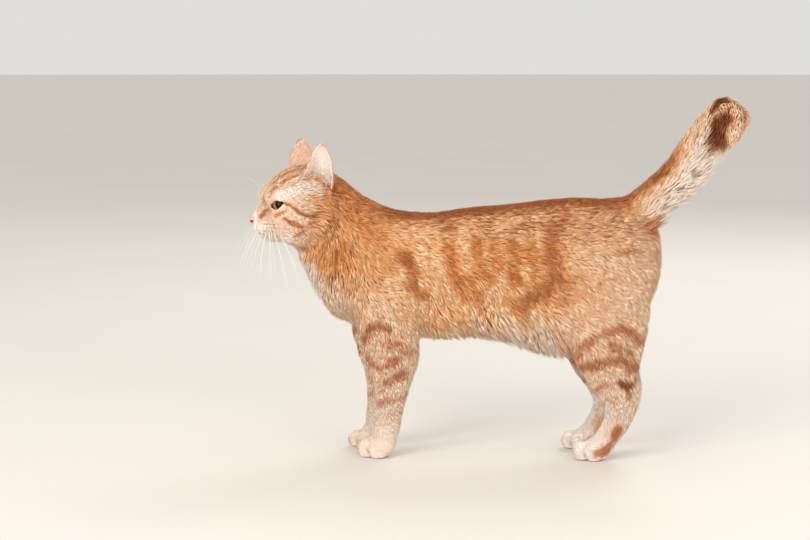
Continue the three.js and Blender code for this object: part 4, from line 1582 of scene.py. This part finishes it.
def nose_finish():
    finish = Finish("nose_damp", NOSE_SHADER)
    pebbles = finish.node("ShaderNodeTexVoronoi", {"feature": "SMOOTH_F1"}, {"Scale": 1600.0})
    flush = finish.noise(260.0)
    pink = finish.mix(NOSE_PINK, NOSE_RED, flush)
    # painted shade: the leather darkens into the nostrils
    leather = finish.mix(pink, NOSTRIL_SHADE, finish.attribute("deep", "Fac"))
    return finish.end(Base_Color=leather, Normal=finish.bump(pebbles, 0.5, 0.00025))


# %% Nose piece
nose_points, nose_faces = nets(sampled(nose_field, NOSE_GRID), NOSE_GRID)
nose_points = settled(nose_field, nose_points)
half = folded(nose_points)
# painted shade: how far into a nostril each point lies, which darkens the leather there
from_nostril = np.minimum(ball(NOSTRIL_AT, NOSTRIL_RADII)(half), near_line(half, NOSTRIL_SLIT) - 0.3)
deep = np.repeat(1 - ramp(0.1, 1.0, from_nostril)[:, None], 4, axis=1)
nose_points = from_head(nose_points)
nose = piece("nose_leather", nose_points, nose_faces, nose_finish(), {"deep": deep})
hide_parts("nose")
print("nose:", len(nose_faces), "faces")

# %% [markdown]
# ## Whiskers
# Whiskers are stiff tapering hairs in rows on the upper lip, with a few above each eye. They
# follow simple arcs, so each is a line of points here, and a Geometry Nodes tree gives all the
# lines their round, tapering body at once. The thickness along each line travels as an attribute.

# %% A tree that gives lines a body
def hair_tree(material):
    tree = bpy.data.node_groups.new("tapering_hairs", "GeometryNodeTree")
    for title, way in (("Lines", "INPUT"), ("Hairs", "OUTPUT")):
        tree.interface.new_socket(title, in_out=way, socket_type="NodeSocketGeometry")
    sizes = {"Sides": ("NodeSocketInt", 6), "Thickness": ("NodeSocketFloat", 0.0004)}
    for title, (kind, value) in sizes.items():
        tree.interface.new_socket(title, in_out="INPUT", socket_type=kind).default_value = value
    node = {
        name: tree.nodes.new(kind)
        for name, kind in {
            "input": "NodeGroupInput",
            "curve": "GeometryNodeMeshToCurve",
            "taper": "GeometryNodeInputNamedAttribute",
            "scale": "ShaderNodeMath",
            "circle": "GeometryNodeCurvePrimitiveCircle",
            "body": "GeometryNodeCurveToMesh",
            "real": "GeometryNodeRealizeInstances",
            "finish": "GeometryNodeSetMaterial",
            "output": "NodeGroupOutput",
        }.items()
    }
    node["taper"].data_type = "FLOAT"
    node["taper"].inputs["Name"].default_value = "taper"
    node["scale"].operation = "MULTIPLY"
    node["body"].inputs["Fill Caps"].default_value = True
    node["finish"].inputs["Material"].default_value = material
    node["circle"].inputs["Radius"].default_value = 1.0
    links = [
        (node["input"].outputs["Lines"], node["curve"].inputs["Mesh"]),
        (node["taper"].outputs["Attribute"], node["scale"].inputs[0]),
        (node["input"].outputs["Thickness"], node["scale"].inputs[1]),
        (node["curve"].outputs["Curve"], node["body"].inputs["Curve"]),
        (node["scale"].outputs[0], node["body"].inputs["Scale"]),
        (node["input"].outputs["Sides"], node["circle"].inputs["Resolution"]),
        (node["circle"].outputs["Curve"], node["body"].inputs["Profile Curve"]),
        (node["body"].outputs["Mesh"], node["real"].inputs["Geometry"]),
        (node["real"].outputs["Geometry"], node["finish"].inputs["Geometry"]),
        (node["finish"].outputs["Geometry"], node["output"].inputs["Hairs"]),
    ]
    for start, end in links:
        tree.links.new(start, end)
    return tree


# %% A piece from that tree
TAPER = 0.92  # how much of its thickness a hair has lost at the tip


def hairs(name, lines, thickness, tree):
    """A mesh piece of round tapering hairs along lines of points in millimetres."""
    steps = len(lines[0])
    mesh = bpy.data.meshes.new(name)
    edges = [(row * steps + i, row * steps + i + 1) for row in range(len(lines)) for i in range(steps - 1)]
    mesh.from_pydata([tuple(point * MM) for line in lines for point in line], edges, [])
    taper = mesh.attributes.new("taper", "FLOAT", "POINT")
    taper.data.foreach_set("value", np.tile(1 - TAPER * np.linspace(0, 1, steps) ** 1.3, len(lines)))
    made = bpy.data.objects.new(name, mesh)
    bpy.context.scene.collection.objects.link(made)
    grown = made.modifiers.new("hairs", "NODES")
    grown.node_group = tree
    sockets = {item.name: item.identifier for item in tree.interface.items_tree if item.in_out == "INPUT"}
    grown[sockets["Thickness"]] = thickness * MM
    bpy.context.view_layer.update()
    body = bpy.data.meshes.new_from_object(made.evaluated_get(bpy.context.evaluated_depsgraph_get()))
    made.modifiers.clear()
    made.data = body
    body.polygons.foreach_set("use_smooth", np.ones(len(body.polygons), bool))
    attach(made, "root")
    print(name, len(lines), "hairs,", len(body.polygons), "faces")


# %% Whisker lines
WHISKER_WHITE = colour(250, 248, 244)
WHISKER_GREY = colour(226, 214, 200)
WHISKER_STEPS = 14
WHISKER_RADIUS = 0.15
BROW_HAIR_RADIUS = 0.11
whisker_finish = Finish("whisker_white", {"Roughness": 0.35})
whisker_colour = whisker_finish.mix(WHISKER_WHITE, WHISKER_GREY, whisker_finish.noise(300.0))
whisker_tree = hair_tree(whisker_finish.end(Base_Color=whisker_colour))


def whisker(root, way, length, droop):
    """An arc from a root in the head's frame that leaves along way and bends down by droop."""
    t = np.linspace(0, 1, WHISKER_STEPS)[:, None]
    down = np.array([0, 0, -1.0])
    return from_head(root + unit(np.array(way, float)) * length * t + down * droop * t**2)


draw = np.random.default_rng(77)
lines = {LEFT: [], RIGHT: []}
for side in (LEFT, RIGHT):
    for row, (z, x0, x1, count) in enumerate(WHISKER_ROWS):
        for i, x in enumerate(np.linspace(x0, x1, count)):
            back = i / (count - 1)
            start = np.array([[x, side * 40.0, z]])
            for _ in range(24):  # walk in from the side until the skin is reached
                start[:, 1] -= side * np.maximum(skin_field(from_head(start)), 0.02)
            aside = mixed(0.28, 0.44, back) if side == LEFT else mixed(0.4, 0.6, back)
            way = (mixed(-0.75, 0.45, back) + draw.normal(0, 0.06), side * aside, -0.6 - 0.12 * row)
            length = mixed(34, 52, back) * draw.uniform(0.8, 1.1) * (0.8 if row == 2 else 1)
            lines[side].append(whisker(start[0], way, length, mixed(18, 26, back) * draw.uniform(0.8, 1.2)))
for side, name in ((LEFT, "left"), (RIGHT, "right")):
    hairs(f"whiskers_{name}", lines[side], WHISKER_RADIUS, whisker_tree)
brow_lines = []
for side in (LEFT, RIGHT):
    for i in range(3):
        root = np.array([-45 + 3.0 * i, side * (13 + 3 * i), 28])
        brow_lines.append(whisker(root, (-0.65 + 0.25 * i, side * 0.35, 0.8), 26 - 4 * i, 6))
hairs("whiskers_brow", brow_lines, BROW_HAIR_RADIUS, whisker_tree)

# %% [markdown]
# ## Camera, floor and light
# The camera is a long lens level with the cat's shoulder. The floor is a plain pale disc that
# catches a soft shadow, and large lamps stand above, in front and behind.

# %% Stage
CAMERA_AT = np.array([34.8, -1980.0, 386.8])
AIM = np.array([-87.3, 0.0, 179.0])
SENSOR_WIDTH = 36.0
IMAGE_WIDTH = 810
FOCAL_LENGTH = 2050  # in pixels of an image of that width
FLOOR_RADIUS = 40.0
FLOOR_PALE = colour(226, 219, 210)
FLOOR_LIGHT = colour(232, 226, 218)
bpy.ops.mesh.primitive_circle_add(
    vertices=96, radius=FLOOR_RADIUS, fill_type="NGON", location=(0, 0, -0.0005)
)
floor = bpy.context.object
floor.name = "floor"
floor_finish = Finish("floor_pale", {"Roughness": 0.6})
floor_colour = floor_finish.mix(FLOOR_PALE, FLOOR_LIGHT, floor_finish.noise(3.0))
floor.data.materials.append(floor_finish.end(Base_Color=floor_colour))

camera = bpy.data.objects.new("camera", bpy.data.cameras.new("camera"))
bpy.context.scene.collection.objects.link(camera)
camera.data.sensor_width = SENSOR_WIDTH
camera.data.lens = FOCAL_LENGTH / IMAGE_WIDTH * SENSOR_WIDTH
camera.data.clip_end = 100
camera.location = Vector(CAMERA_AT * MM)
camera.rotation_euler = Vector((AIM - CAMERA_AT) * MM).to_track_quat("-Z", "Y").to_euler()
bpy.context.scene.camera = camera
print("lens:", round(camera.data.lens, 1), "mm")

# %% Lamps and surroundings
LIT_AT = Vector((0, 0, 0.18))
DAYLIGHT = (1.0, 1.0, 1.0)
WARM = (1.0, 0.97, 0.92)
SURROUNDINGS = (0.96, 0.95, 0.93, 1)


def lamp(name, at, watts, size, tint):
    light = bpy.data.objects.new(name, bpy.data.lights.new(name, "AREA"))
    bpy.context.scene.collection.objects.link(light)
    light.data.energy = watts
    light.data.size = size
    light.data.color = tint
    light.location = at
    light.rotation_euler = (LIT_AT - Vector(at)).to_track_quat("-Z", "Y").to_euler()


lamp("lamp_key", (-1.3, -2.3, 1.15), 61, 1.6, WARM)
lamp("lamp_fill", (1.4, -2.3, 0.55), 33, 1.8, DAYLIGHT)
lamp("lamp_back", (0.8, 1.9, 1.8), 17, 1.2, DAYLIGHT)
bpy.context.scene.view_settings.view_transform = "Standard"
world = bpy.data.worlds.new("studio")
world.use_nodes = True
background = world.node_tree.nodes["Background"]
background.inputs["Color"].default_value = SURROUNDINGS
background.inputs["Strength"].default_value = 0.78
bpy.context.scene.world = world
